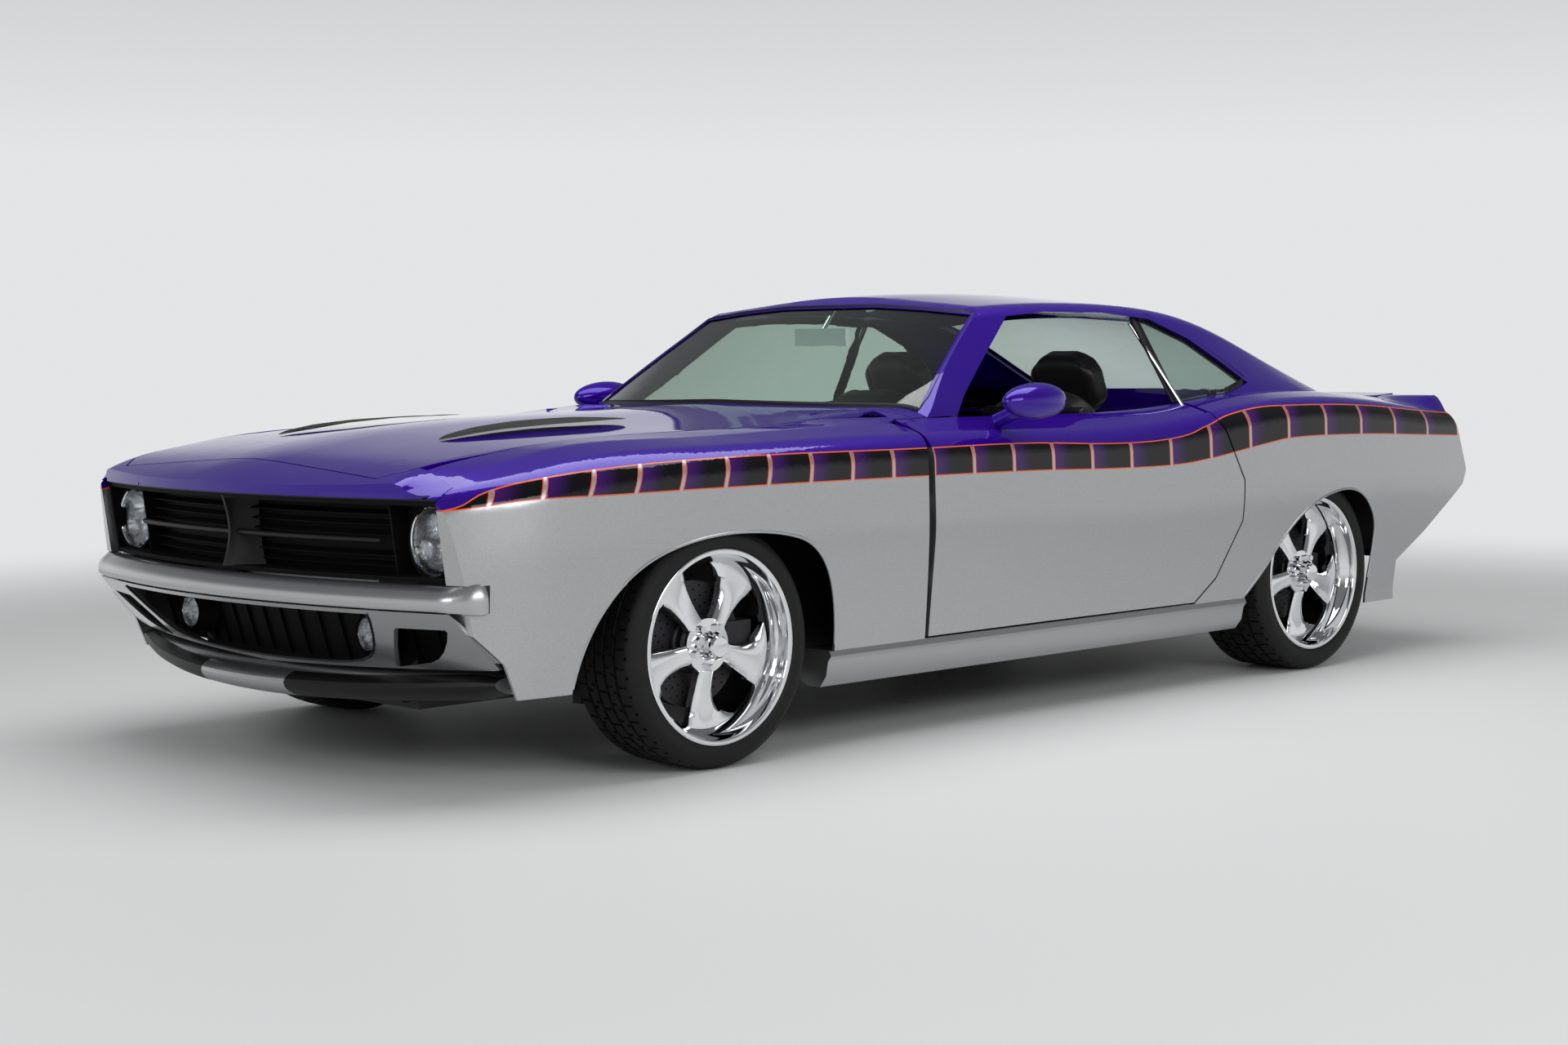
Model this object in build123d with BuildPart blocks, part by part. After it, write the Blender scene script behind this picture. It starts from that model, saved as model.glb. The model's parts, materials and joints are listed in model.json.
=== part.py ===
"""Two-door hardtop muscle car, built from separate named sub-components.

Units are millimetres. +X is the nose, +Y the left side, +Z up, the ground is z = 0
and the origin lies under the middle of the car's length and width.
"""
import os
from math import hypot, radians, tan

from build123d import *

os.makedirs("parts", exist_ok=True)

# ---------------------------------------------------------------- driving dimensions
LENGTH = 4742.0
NOSE_X = LENGTH / 2
TAIL_X = -LENGTH / 2
AXLE_FRONT_X = 1420.0
AXLE_REAR_X = -1323.0

SKIN = 8.0                 # fenders, quarters, header
LID_SKIN = 14.0            # hood and trunk lid with their inner frames
ROOF_SKIN = 36.0           # roof, rails and pillars, trimmed inside
GLASS = 6.0
GLASS_SET_IN = 8.0         # glass face behind the painted face
LAMP_R = 89.0              # headlamps in the ends of the grille
LAMP_Y = 709.0
LAMP_Z = 634.0
LAMP_FACE_X = 2192.0
FOG_R = 44.0               # fog lamps in the mouth of the valance
FOG_Y = 427.0
FOG_Z = 386.0
GRILLE_BACK = 20.0         # grille behind the nose
GRILLE_DEEP = 102.0
GRILLE_SLOTS = ((552, 600), (612, 668), (680, 728))
SILL_TOP_Z = 272.0
FLOOR_HALF = 765.0
FLOOR_REAR_X = -900.0
SEAT_FIT = 0.3             # pieces that sit in each other
PANEL_GAP = 6.0            # fixed panel to moving panel
ARCH_EASE = 600.0          # wheel openings, as round as their corners leave room for

HOOD_REAR_X = 626.0
HOOD_HALF = 690.0
DOOR_INNER_Y = 772.0
DOOR_PIVOT_X = 725.0
DOOR_PIVOT_Y = 868.0
DOOR_SWING_R = 120.0
HOOD_PIVOT_X = 566.0
HOOD_PIVOT_Z = 866.0
HOOD_SWING_R = 92.0
TRUNK_FRONT_X = -1750.0
TRUNK_HALF = 640.0
TRUNK_PIVOT_X = -1720.0
TRUNK_PIVOT_Z = 875.0
TRUNK_SWING_R = 85.0

PIN_R = 8.0                # hinge pins of the doors, hood and trunk lid
PIN_BORE_R = PIN_R + SEAT_FIT
EYE_R = 15.0               # ring round a hinge pin
EAR = 10.0                 # hinge ears and brackets
EAR_GAP = 6.0              # ear to its bracket
HOOD_EAR_Y = 596.0
TRUNK_EAR_Y = 574.0
DOOR_EARS = ((420.0, 450.0), (640.0, 670.0))
SPINDLE_R = 20.0           # wheel spindles
SPINDLE_BORE_R = SPINDLE_R + SEAT_FIT
BALL_PIN_R = 10.0          # pins that the front knuckles turn on
BALL_PIN_BORE_R = BALL_PIN_R + SEAT_FIT
ARM_END_R = 32.0
MIRROR_REAR_X = 165.0
MIRROR_FRONT_X = 272.0
MIRROR_Y = 970.0
MIRROR_Z = 940.0
MIRROR_R = 58.0
ENGINE_REAR_X = 780.0
PINION_X = -1200.0
SEAT_Y = 385.0

TYRE_R_FRONT = 322.0
TYRE_R_REAR = 328.0
LIP_R = 258.0
BEAD_R = 246.0
KINGPIN_Y = 720.0
DISC_THICK = 28.0
DISC_RUN = 6.0             # disc to caliper and hub carrier
FRONT_DISC_Y = 784.0
REAR_DISC_Y = 757.0

# wheels: end, axle x, middle y, half width, tyre radius, disc y, disc radius
WHEELS = [
    ("front", AXLE_FRONT_X, 800.0, 122.0, TYRE_R_FRONT, FRONT_DISC_Y, 168.0),
    ("rear", AXLE_REAR_X, 772.0, 137.0, TYRE_R_REAR, REAR_DISC_Y, 162.0),
]

# scoops on the hood, their tops drawn from the side in x, z
SCOOP_X = 1604.0
SCOOP_Y = 380.0
SCOOP_LONG = 640.0
SCOOP_WIDE = 190.0
SCOOP_SIDE = [(1930, 840), (1930, 876), (1880, 898), (1760, 921), (1600, 935), (1400, 941), (1280, 932),
              (1280, 840)]

# hinge ears of the hood and the trunk lid, in x, z
HOOD_EAR = [(556, 852), (620, 841), (700, 836), (770, 900), (770, 915), (722, 915), (684, 858), (652, 856),
            (600, 870), (556, 880)]
TRUNK_EAR = [(-1720, 889), (-1752, 878), (-1796, 842), (-1850, 845), (-1890, 905), (-1935, 905),
             (-1870, 822), (-1790, 818), (-1714, 862)]

# stations of the lower body, front to back
BODY_COLUMNS = ("x", "mid", "edge", "crest_y", "crest_z", "shoulder_y", "shoulder_z",
                "waist_y", "waist_z", "sill_y", "sill_z")
BODY = [
    (2420, 745, 728, 700, 702, 735, 655, 752, 560, 765, 200),
    (2240, 826, 798, 740, 772, 818, 735, 829, 582, 824, 200),
    (2160, 845, 819, 766, 794, 868, 757, 878, 586, 860, 200),
    (2050, 864, 837, 780, 818, 908, 779, 918, 588, 880, 200),
    (1900, 884, 856, 782, 848, 926, 806, 935, 590, 892, 200),
    (1420, 918, 880, 784, 868, 938, 836, 947, 600, 905, 200),
    (900, 930, 896, 786, 881, 928, 840, 936, 590, 893, 200),
    (600, 936, 922, 790, 885, 922, 839, 930, 588, 887, 200),
    (200, 936, 915, 792, 888, 918, 836, 927, 588, 884, 200),
    (-350, 936, 905, 797, 889, 917, 828, 928, 588, 886, 200),
    (-650, 938, 920, 801, 900, 926, 856, 938, 592, 890, 200),
    (-950, 950, 942, 800, 928, 938, 894, 948, 600, 894, 205),
    (-1323, 955, 948, 795, 940, 945, 912, 952, 610, 897, 220),
    (-1700, 938, 932, 790, 922, 937, 893, 946, 612, 891, 235),
    (-2000, 920, 911, 783, 892, 924, 864, 933, 611, 881, 260),
    (-2200, 904, 894, 774, 876, 908, 848, 921, 609, 868, 275),
    (-2420, 888, 877, 760, 862, 886, 832, 902, 606, 850, 290),
]
BODY_RADII = (60, 700, 95, 120, 600, 3000, 600, 120, 95, 700, 60)

# stations of the cabin above the belt
CABIN_COLUMNS = ("x", "foot_y", "belt_y", "belt_z", "rail_y", "rail_z", "mid")
CABIN = [
    (760, 764, 748, 860, 575, 1188, 1236),
    (300, 792, 778, 870, 592, 1208, 1258),
    (0, 806, 792, 870, 603, 1222, 1276),
    (-300, 814, 801, 870, 607, 1234, 1290),
    (-700, 816, 803, 870, 604, 1226, 1283),
    (-957, 813, 800, 880, 602, 1198, 1254),
    (-1200, 806, 793, 890, 600, 1138, 1186),
    (-1450, 800, 786, 885, 608, 1046, 1082),
    (-1700, 792, 778, 870, 625, 952, 968),
    (-1900, 786, 772, 830, 640, 870, 880),
]
CABIN_RADII = (300, 75, 2600, 75, 300)

# plan arcs, each as height, x at the middle and x at 900 either side
SCREEN_ARCS = [(850, 760, 425), (1310, -48, -180)]
NOSE_ARCS = [(100, 2278, 2126), (900, 2387, 2235)]
VALANCE_ARCS = [(200, 2130, 1978), (480, 2380, 2228)]

# chin lip across the nose, in x, z at the middle; its ends are set back and up
CHIN_PROFILE = [(2307, 260), (2236, 209), (2180, 214), (2180, 286), (2226, 286)]
CHIN_HALF = 836.0
CHIN_SET_BACK = 206.0
CHIN_RISE = 32.0

# tail face 900 from the middle, as x, z from the top down; it bows about a far axis
TAIL_AXIS_X = 3139.0
TAIL = [(-2176, 1400), (-2186, 912), (-2285, 640), (-2262, 590), (-2012, 432), (-1835, 338), (-1835, 60)]
BUMPER_PROUD = 12.0

# outlines seen from above (x, y), from the side (x, z) and from the front (y, z)
HOOD_PLAN = [(HOOD_REAR_X, 690), (1990, 690), (2215, 655), (2270, 600), (2238, 0)]
TRUNK_PLAN = [(-2600, TRUNK_HALF), (TRUNK_FRONT_X, TRUNK_HALF)]
BUMPER_PLAN = [(2150, 880), (2196, 888), (2252, 812), (2500, 812)]
DOOR_SIDE = [(660, 1000), (660, 278), (-652, 278), (-752, 352), (-861, 530), (-863, 662), (-752, 866),
             (-752, 1000)]
FRONT_ARCH = [(986, 60), (990, 420), (1075, 575), (1240, 619), (1480, 624), (1697, 570), (1828, 455),
              (1903, 305), (1925, 60)]
REAR_ARCH = [(-866, 60), (-872, 235), (-1000, 340), (-1100, 465), (-1235, 565), (-1400, 612), (-1545, 604),
             (-1652, 510), (-1668, 420), (-1640, 60)]
FENDER_NOSE = [(1900, 180), (2600, 180), (2600, 466), (2240, 466), (2105, 335), (2068, 246), (1900, 246)]
SIDE_WINDOW = [(352, 870), (262, 952), (-62, 1194), (-245, 1208), (-531, 1207), (-775, 1186), (-957, 1120),
               (-1085, 1042), (-1180, 972), (-1060, 945), (-800, 895), (-700, 870)]
SCREEN_FRONT = [(744, 880), (592, 1198), (400, 1216), (200, 1228)]
REAR_GLASS_PLAN = [(-1005, 0), (-990, 500), (-1655, 585), (-1760, 560), (-1790, 0)]


# ---------------------------------------------------------------- shape helpers
def eased(points, wishes):
    """Corner radii, each held to what its two neighbouring lines have room for."""
    radii = []
    for i, wish in enumerate(wishes, start=1):
        before, here, after = (Vector(*points[j]) for j in (i - 1, i, i + 1))
        turn = radians((here - before).get_angle(after - here))
        room = 0.46 * min((here - before).length, (after - here).length)
        radii.append(min(wish, room / tan(turn / 2)))
    return radii


def cross_section(x, half, middle, wishes):
    """Closed face across the car at x, from a half outline listed upwards."""
    points = half + [middle] + [(-y, z) for y, z in reversed(half)]
    with BuildSketch(Plane((x, 0, 0), x_dir=(0, 1, 0), z_dir=(1, 0, 0))) as sketch:
        with BuildLine():
            outline = FilletPolyline(*points, radius=eased(points, wishes))
            Line(outline @ 1, outline @ 0)
        make_face()
    return sketch.sketch.face()


def lower_body(inset, floor_z):
    """Lower body, its skin moved inwards by inset and open down to floor_z."""
    faces = []
    for x, mid, ez, cy, cz, hy, hz, wy, wz, sy, sz in BODY:
        half = [(sy - inset, floor_z), (sy - inset, sz), (wy - inset, wz),
                (hy - inset, hz - 0.5 * inset), (cy - 0.5 * inset, cz - inset),
                (HOOD_HALF, ez - inset)]
        faces.append(cross_section(x, half, (0, mid - inset), BODY_RADII))
    with BuildPart() as body:
        loft(sections=faces)
    return body.part


def cabin_form(inset, floor_z):
    """Cabin above the belt, moved inwards by inset and carried down to floor_z."""
    faces = []
    for x, fy, by, bz, ry, rz, mid in CABIN:
        half = [(fy - inset, floor_z), (by - inset, bz), (ry - inset, rz - 0.7 * inset)]
        faces.append(cross_section(x, half, (0, mid - inset), CABIN_RADII))
    with BuildPart() as form:
        loft(sections=faces)
    return form.part


def prism(plane, points, near, far, ease=0.0, grow=0.0):
    """Closed outline drawn on a plane and grown all round, solid from near to far."""
    with BuildPart() as solid:
        with BuildSketch(plane.offset(near)):
            with BuildLine():
                if ease:
                    FilletPolyline(*points, radius=ease, close=True)
                else:
                    Polyline(*points, close=True)
            make_face()
            if grow:
                offset(amount=grow, kind=Kind.INTERSECTION)
        extrude(amount=far - near)
    return solid.part


def side_prism(points, y_from, y_to, ease=0.0, grow=0.0):
    """Outline in x, z, solid between two values of y."""
    return prism(Plane.XZ, points, -y_to, -y_from, ease, grow)


def top_prism(points, z_from, z_to, ease=0.0, grow=0.0):
    """Outline in x, y, solid between two heights."""
    return prism(Plane.XY, points, z_from, z_to, ease, grow)


def front_prism(points, x_from, x_to, ease=0.0, grow=0.0):
    """Outline in y, z, solid between two values of x."""
    return prism(Plane.YZ, points, x_from, x_to, ease, grow)


def arch_prism(points, y_from, y_to):
    """Wheel opening in x, z with every corner rounded, solid between two values of y."""
    with BuildPart() as solid:
        with BuildSketch(Plane.XZ.offset(-y_to)):
            with BuildLine():
                outline = FilletPolyline(*points, radius=eased(points, [ARCH_EASE] * (len(points) - 2)))
                Line(outline @ 1, outline @ 0)
            make_face()
        extrude(amount=y_to - y_from)
    return solid.part


def plan_face(z, mid_x, side_x, rear_x):
    """Face at height z from rear_x to a front arc through mid_x and, 900 out, side_x."""
    with BuildSketch(Plane.XY.offset(z)) as sketch:
        with BuildLine():
            front = ThreePointArc((side_x, -900), (mid_x, 0), (side_x, 900))
            Polyline(front @ 1, (side_x - 60, 1100), (rear_x, 1100), (rear_x, -1100),
                     (side_x - 60, -1100), front @ 0)
        make_face()
    return sketch.sketch.face()


def behind_arcs(arcs, rear_x=1500.0, inset=0.0):
    """Solid behind a ruled front face, each arc given as height, middle x and side x."""
    with BuildPart() as solid:
        loft(sections=[plan_face(z, mid - inset, side - inset, rear_x) for z, mid, side in arcs],
             ruled=True)
    return solid.part


def ahead_of_tail(inset, outline):
    """Everything ahead of the bowed tail face, moved forwards by inset."""
    reach = [hypot(TAIL_AXIS_X - x, 900) - inset for x, z in outline]
    points = [(TAIL_AXIS_X - r, z) for r, (x, z) in zip(reach, outline)]
    with BuildPart() as solid:
        with BuildSketch(Plane.XZ):
            with BuildLine():
                Polyline((TAIL_AXIS_X, outline[0][1]), *points,
                         (TAIL_AXIS_X, outline[-1][1]), close=True)
            make_face()
        revolve(axis=Axis((TAIL_AXIS_X, 0, 0), (0, 0, 1)))
    return solid.part


def block(x0, x1, y0, y1, z0, z1):
    """Box between pairs of coordinates."""
    return Solid.make_box(x1 - x0, y1 - y0, z1 - z0, Plane((x0, y0, z0)))


def rod(start, end, radius):
    """Round bar between two points."""
    axis = Vector(*end) - Vector(*start)
    return Solid.make_cylinder(radius, axis.length, Plane(start, z_dir=tuple(axis)))


def post(x, y, z_low, z_high, radius):
    """Upright round bar between two heights."""
    return rod((x, y, z_low), (x, y, z_high), radius)


def caliper(x, side, z, disc_y, disc_r):
    """Brake caliper behind the axle with its bracket, straddling a disc."""
    slot = DISC_THICK / 2 + DISC_RUN
    y_in, y_out = sorted((side * (disc_y - slot - 12), side * (disc_y + slot + 12)))
    body = block(x - disc_r - 30, x - disc_r + 60, y_in, y_out, z - 50, z + 50)
    y_in, y_out = sorted((side * (disc_y - slot - 12), side * (disc_y - slot)))
    body = body.fuse(block(x - disc_r, x, y_in, y_out, z - 38, z + 38))
    return body.cut(rod((x, side * (disc_y - slot), z), (x, side * (disc_y + slot), z), disc_r + DISC_RUN))


def hinge_ear(outline, pivot, y_low):
    """Flat ear in x, z with a ring round its pivot, EAR thick from y_low."""
    with BuildPart() as ear:
        with BuildSketch(Plane.XZ.offset(-y_low)):
            with BuildLine():
                Polyline(*outline, close=True)
            make_face()
            with Locations(pivot):
                Circle(EYE_R)
                Circle(PIN_BORE_R, mode=Mode.SUBTRACT)
        extrude(amount=-EAR)
    return ear.part


def hinge_bracket(pivot, side, ear_y, z_top):
    """Plate that hangs outboard of an ear and carries the ear's pin."""
    x, z = pivot
    plate_y = ear_y + EAR + EAR_GAP
    y_in, y_out = sorted((side * plate_y, side * (plate_y + EAR)))
    plate = block(x - EYE_R, x + EYE_R, y_in, y_out, z, z_top)
    plate = plate.fuse(rod((x, side * plate_y, z), (x, side * (plate_y + EAR), z), EYE_R))
    return plate.fuse(rod((x, side * (ear_y - 2), z), (x, side * (plate_y + 1), z), PIN_R))


def both(points):
    """Plan outline of x, y closed with its mirror image across y = 0."""
    return points + [(x, -y) for x, y in reversed(points) if y]


def facing(points):
    """Front outline of y, z closed with its mirror image across y = 0."""
    return points + [(-y, z) for y, z in reversed(points) if y]


# ---------------------------------------------------------------- shared forms
body_out = lower_body(0, 120)
body_in = lower_body(SKIN, 100)
body_lid_in = lower_body(LID_SKIN, 100)
cabin_out = cabin_form(0, 600)
cabin_in = cabin_form(ROOF_SKIN, 560)
cabin_seat = cabin_form(28, 560)
nose = behind_arcs(NOSE_ARCS, -2600)
tail = ahead_of_tail(0, TAIL)
screen = behind_arcs(SCREEN_ARCS, -2300)

door_clear = side_prism(DOOR_SIDE, 700, 1000, grow=PANEL_GAP)
door_swing = Solid.make_cylinder(DOOR_SWING_R - PANEL_GAP, 1200, Plane((DOOR_PIVOT_X, DOOR_PIVOT_Y, 0)))
hood_clear = top_prism(both(HOOD_PLAN), 400, 1200, grow=PANEL_GAP)
trunk_clear = top_prism(both(TRUNK_PLAN), 860, 1200, grow=PANEL_GAP)
front_arches = arch_prism(FRONT_ARCH, -1100, 1100)
rear_arches = arch_prism(REAR_ARCH, -1100, 1100)
bumper_space = top_prism(both(BUMPER_PLAN), 466, 534, grow=5)
side_windows = side_prism(SIDE_WINDOW, -1000, 1000)
screen_hole = front_prism(facing(SCREEN_FRONT), -20, 1000)
rear_glass_hole = top_prism(both(REAR_GLASS_PLAN), 600, 1300)

# ---------------------------------------------------------------- outer panels
with BuildPart() as fender_left:
    add(body_out)
    add(nose, mode=Mode.INTERSECT)
    add(block(606, 2500, 696, 1000, 200, 1000), mode=Mode.INTERSECT)
    add(body_in.cut(block(2110, 2500, 800, 1100, 0, 1200)), mode=Mode.SUBTRACT)
    add(hood_clear, mode=Mode.SUBTRACT)
    add(block(2190, 2500, 0, 802.3, 300, 1000), mode=Mode.SUBTRACT)
    add(block(600, 1100, 600, 1100, 100, SILL_TOP_Z + SEAT_FIT), mode=Mode.SUBTRACT)
    add(front_arches, mode=Mode.SUBTRACT)
    add(side_prism(FENDER_NOSE, 0, 1100), mode=Mode.SUBTRACT)
    add(bumper_space, mode=Mode.SUBTRACT)
    add(block(590, DOOR_PIVOT_X, 769, 1000, 272, 1100).cut(door_swing), mode=Mode.SUBTRACT)
fender_left.part.label = "fender_left"


with BuildPart() as fender_right:
    mirror(fender_left.part, about=Plane.XZ)
fender_right.part.label = "fender_right"

with BuildPart() as header:
    add(body_out)
    add(block(2190.3, 2500, -800, 800, 742, 1000), mode=Mode.INTERSECT)
    add(nose, mode=Mode.INTERSECT)
    add(hood_clear, mode=Mode.SUBTRACT)
    add(block(2186, 2310, -780, 780, 700, 752), mode=Mode.SUBTRACT)
header.part.label = "header"

with BuildPart() as hood:
    add(body_out)
    add(top_prism(both(HOOD_PLAN), 400, 1200), mode=Mode.INTERSECT)
    add(body_lid_in, mode=Mode.SUBTRACT)
    add(rod((HOOD_PIVOT_X, -900, HOOD_PIVOT_Z), (HOOD_PIVOT_X, 900, HOOD_PIVOT_Z), HOOD_SWING_R),
        mode=Mode.SUBTRACT)
    add(hinge_ear(HOOD_EAR, (HOOD_PIVOT_X, HOOD_PIVOT_Z), HOOD_EAR_Y))
    add(hinge_ear(HOOD_EAR, (HOOD_PIVOT_X, HOOD_PIVOT_Z), -HOOD_EAR_Y - EAR))
hood.part.label = "hood"

with BuildPart() as hood_scoops:
    for side in (-1, 1):
        with BuildSketch(Plane.XY.offset(860)):
            with Locations((SCOOP_X, SCOOP_Y * side)):
                Ellipse(SCOOP_LONG / 2, SCOOP_WIDE / 2)
        extrude(amount=90)
    add(side_prism(SCOOP_SIDE, -600, 600), mode=Mode.INTERSECT)
    add(body_out, mode=Mode.SUBTRACT)
hood_scoops.part.label = "hood_scoops"

with BuildPart() as cowl:
    add(body_out)
    add(block(430, 700, -760, 760, 800, 1100), mode=Mode.INTERSECT)
    add(body_in, mode=Mode.SUBTRACT)
    add(block(HOOD_PIVOT_X, 720, -696, 696, 700, 1200).cut(
        rod((HOOD_PIVOT_X, -900, HOOD_PIVOT_Z), (HOOD_PIVOT_X, 900, HOOD_PIVOT_Z),
            HOOD_SWING_R - PANEL_GAP)), mode=Mode.SUBTRACT)
    add(block(605.7, 720, 690, 760, 700, 1200), mode=Mode.SUBTRACT)
    add(block(605.7, 720, -760, -690, 700, 1200), mode=Mode.SUBTRACT)
    for side in (-1, 1):
        add(side_prism(DOOR_SIDE, min(764 * side, 1000 * side), max(764 * side, 1000 * side),
                       grow=PANEL_GAP), mode=Mode.SUBTRACT)
        add(hinge_bracket((HOOD_PIVOT_X, HOOD_PIVOT_Z), side, HOOD_EAR_Y, 924))
cowl.part.label = "cowl"

with BuildPart() as door_left:
    add(body_out)
    add(side_prism(DOOR_SIDE, DOOR_INNER_Y, 1000), mode=Mode.INTERSECT)
    add(Solid.make_cylinder(DOOR_SWING_R, 1200, Plane((DOOR_PIVOT_X, DOOR_PIVOT_Y, 0))), mode=Mode.SUBTRACT)
    add(block(600, 800, 700, 1000, 0, 1200), mode=Mode.SUBTRACT)
    add(side_prism([(x + 14, z) for x, z in DOOR_SIDE[2:]] + [(-1000, 1000), (-1000, 278)],
                   700, 880), mode=Mode.SUBTRACT)
    add(rod((250, 850, 880), (219, 950, 925), 22))
    add(rod((MIRROR_REAR_X, MIRROR_Y, MIRROR_Z), (MIRROR_FRONT_X, MIRROR_Y, MIRROR_Z), MIRROR_R))
    with Locations((MIRROR_REAR_X, MIRROR_Y, MIRROR_Z), (MIRROR_FRONT_X, MIRROR_Y, MIRROR_Z)):
        Sphere(MIRROR_R)
    for z_low, z_high in DOOR_EARS:
        with BuildSketch(Plane.XY.offset(z_low)):
            with BuildLine():
                Polyline((DOOR_PIVOT_X, DOOR_PIVOT_Y), (646, 780), (585, 783))
            trace(line_width=14)
            with Locations((DOOR_PIVOT_X, DOOR_PIVOT_Y)):
                Circle(EYE_R)
                Circle(PIN_BORE_R, mode=Mode.SUBTRACT)
        extrude(amount=z_high - z_low)
door_left.part.label = "door_left"

with BuildPart() as door_right:
    mirror(door_left.part, about=Plane.XZ)
door_right.part.label = "door_right"

with BuildPart() as quarter_left:
    add(body_out)
    add(block(-2600, -600, 640, 1000, 200, 1000), mode=Mode.INTERSECT)
    add(tail, mode=Mode.INTERSECT)
    add(body_in, mode=Mode.SUBTRACT)
    add(door_clear, mode=Mode.SUBTRACT)
    add(trunk_clear, mode=Mode.SUBTRACT)
    add(rear_arches, mode=Mode.SUBTRACT)
    add(block(-1000, -500, 600, 1000, 100, SILL_TOP_Z + SEAT_FIT), mode=Mode.SUBTRACT)
    add(cabin_seat, mode=Mode.SUBTRACT)
quarter_left.part.label = "quarter_left"

with BuildPart() as quarter_right:
    mirror(quarter_left.part, about=Plane.XZ)
quarter_right.part.label = "quarter_right"

with BuildPart() as trunk_lid:
    add(body_out)
    add(side_prism([(-1980, 850), (-1980, 912), (-2120, 912), (-2260, 920), (-2260, 850)],
                   -TRUNK_HALF, TRUNK_HALF))
    add(top_prism(both(TRUNK_PLAN), 400, 1200), mode=Mode.INTERSECT)
    add(tail, mode=Mode.INTERSECT)
    add(body_lid_in.intersect(ahead_of_tail(16, TAIL)), mode=Mode.SUBTRACT)
    add(block(-2600, -1300, -1000, 1000, 0, 868), mode=Mode.SUBTRACT)
    add(rod((TRUNK_PIVOT_X, -900, TRUNK_PIVOT_Z), (TRUNK_PIVOT_X, 900, TRUNK_PIVOT_Z), TRUNK_SWING_R),
        mode=Mode.SUBTRACT)
    add(hinge_ear(TRUNK_EAR, (TRUNK_PIVOT_X, TRUNK_PIVOT_Z), TRUNK_EAR_Y))
    add(hinge_ear(TRUNK_EAR, (TRUNK_PIVOT_X, TRUNK_PIVOT_Z), -TRUNK_EAR_Y - EAR))
trunk_lid.part.label = "trunk_lid"

with BuildPart() as deck_panel:
    add(body_out)
    add(block(-1850, -1600, -639.7, 639.7, 700, 1100), mode=Mode.INTERSECT)
    add(body_in, mode=Mode.SUBTRACT)
    add(block(-1900, TRUNK_PIVOT_X, -700, 700, 700, 1200).cut(
        rod((TRUNK_PIVOT_X, -900, TRUNK_PIVOT_Z), (TRUNK_PIVOT_X, 900, TRUNK_PIVOT_Z),
            TRUNK_SWING_R - PANEL_GAP)), mode=Mode.SUBTRACT)
    add(block(-1612, -1180, -639.7, 639.7, 862, 874))
    add(block(-1612, -1600, -639.7, 639.7, 862, 1100).intersect(body_out))
    for side in (-1, 1):
        add(hinge_bracket((TRUNK_PIVOT_X, TRUNK_PIVOT_Z), side, TRUNK_EAR_Y, 916))
deck_panel.part.label = "deck_panel"

with BuildPart() as roof:
    add(cabin_out)
    add(screen, mode=Mode.INTERSECT)
    add(block(-1700, 760, -900, 900, 800, 1400), mode=Mode.INTERSECT)
    add(cabin_in, mode=Mode.SUBTRACT)
    add(screen_hole, mode=Mode.SUBTRACT)
    add(rear_glass_hole, mode=Mode.SUBTRACT)
    add(side_windows, mode=Mode.SUBTRACT)
    add(body_out, mode=Mode.SUBTRACT)
roof.part.label = "roof"

# ---------------------------------------------------------------- nose and tail fittings
with BuildPart() as grille:
    add(front_prism(facing([(799.7, 536), (799.7, 741.7)]), 2000, 2400))
    add(behind_arcs(NOSE_ARCS, 1500, GRILLE_BACK), mode=Mode.INTERSECT)
    add(behind_arcs(NOSE_ARCS, 1400, GRILLE_BACK + GRILLE_DEEP), mode=Mode.SUBTRACT)
    for side in (-1, 1):
        for z_low, z_high in GRILLE_SLOTS:
            y_in, y_out = sorted((side * 30, side * 590))
            add(block(2150, 2400, y_in, y_out, z_low, z_high), mode=Mode.SUBTRACT)
        add(rod((2000, side * LAMP_Y, LAMP_Z), (2400, side * LAMP_Y, LAMP_Z), LAMP_R + SEAT_FIT),
            mode=Mode.SUBTRACT)
grille.part.label = "grille"

with BuildPart() as front_lamps:
    for side in (-1, 1):
        add(rod((LAMP_FACE_X - 90, side * LAMP_Y, LAMP_Z), (LAMP_FACE_X, side * LAMP_Y, LAMP_Z), LAMP_R))
        add(rod((2090.3, side * FOG_Y, FOG_Z), (2187, side * FOG_Y, FOG_Z), FOG_R))
front_lamps.part.label = "front_lamps"

with BuildPart() as front_bumper:
    add(behind_arcs([(468, NOSE_X, 2221), (500, NOSE_X, 2221), (532, NOSE_X - 28, 2193)], 1500))
    add(behind_arcs([(400, 2317, 2165), (600, 2317, 2165)], 1500), mode=Mode.SUBTRACT)
    add(top_prism(both(BUMPER_PLAN), 468, 532), mode=Mode.INTERSECT)
front_bumper.part.label = "front_bumper"

with BuildPart() as front_valance:
    add(behind_arcs(VALANCE_ARCS, 1500))
    add(behind_arcs(VALANCE_ARCS, 1400, 12), mode=Mode.SUBTRACT)
    add(front_prism(facing([(0, 286), (838, 318), (884, 321), (884, 467.7)]), 1900, 2500),
        mode=Mode.INTERSECT)
    add(front_prism(facing([(0, 306), (460, 338), (495, 452)]), 1900, 2500), mode=Mode.SUBTRACT)
    for side in (-1, 1):
        add(front_prism([(520 * side, 330), (735 * side, 362), (762 * side, 424), (522 * side, 440)],
                        1900, 2500), mode=Mode.SUBTRACT)
    add(body_out, mode=Mode.INTERSECT)
    for y_in, y_out in ((799.7, 1100), (-1100, -799.7)):
        add(side_prism([(1900, 240), (2068.3, 246), (2105.3, 335), (2240.3, 466), (2240.3, 480), (1900, 480)],
                       y_in, y_out), mode=Mode.SUBTRACT)
front_valance.part.label = "front_valance"

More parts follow.
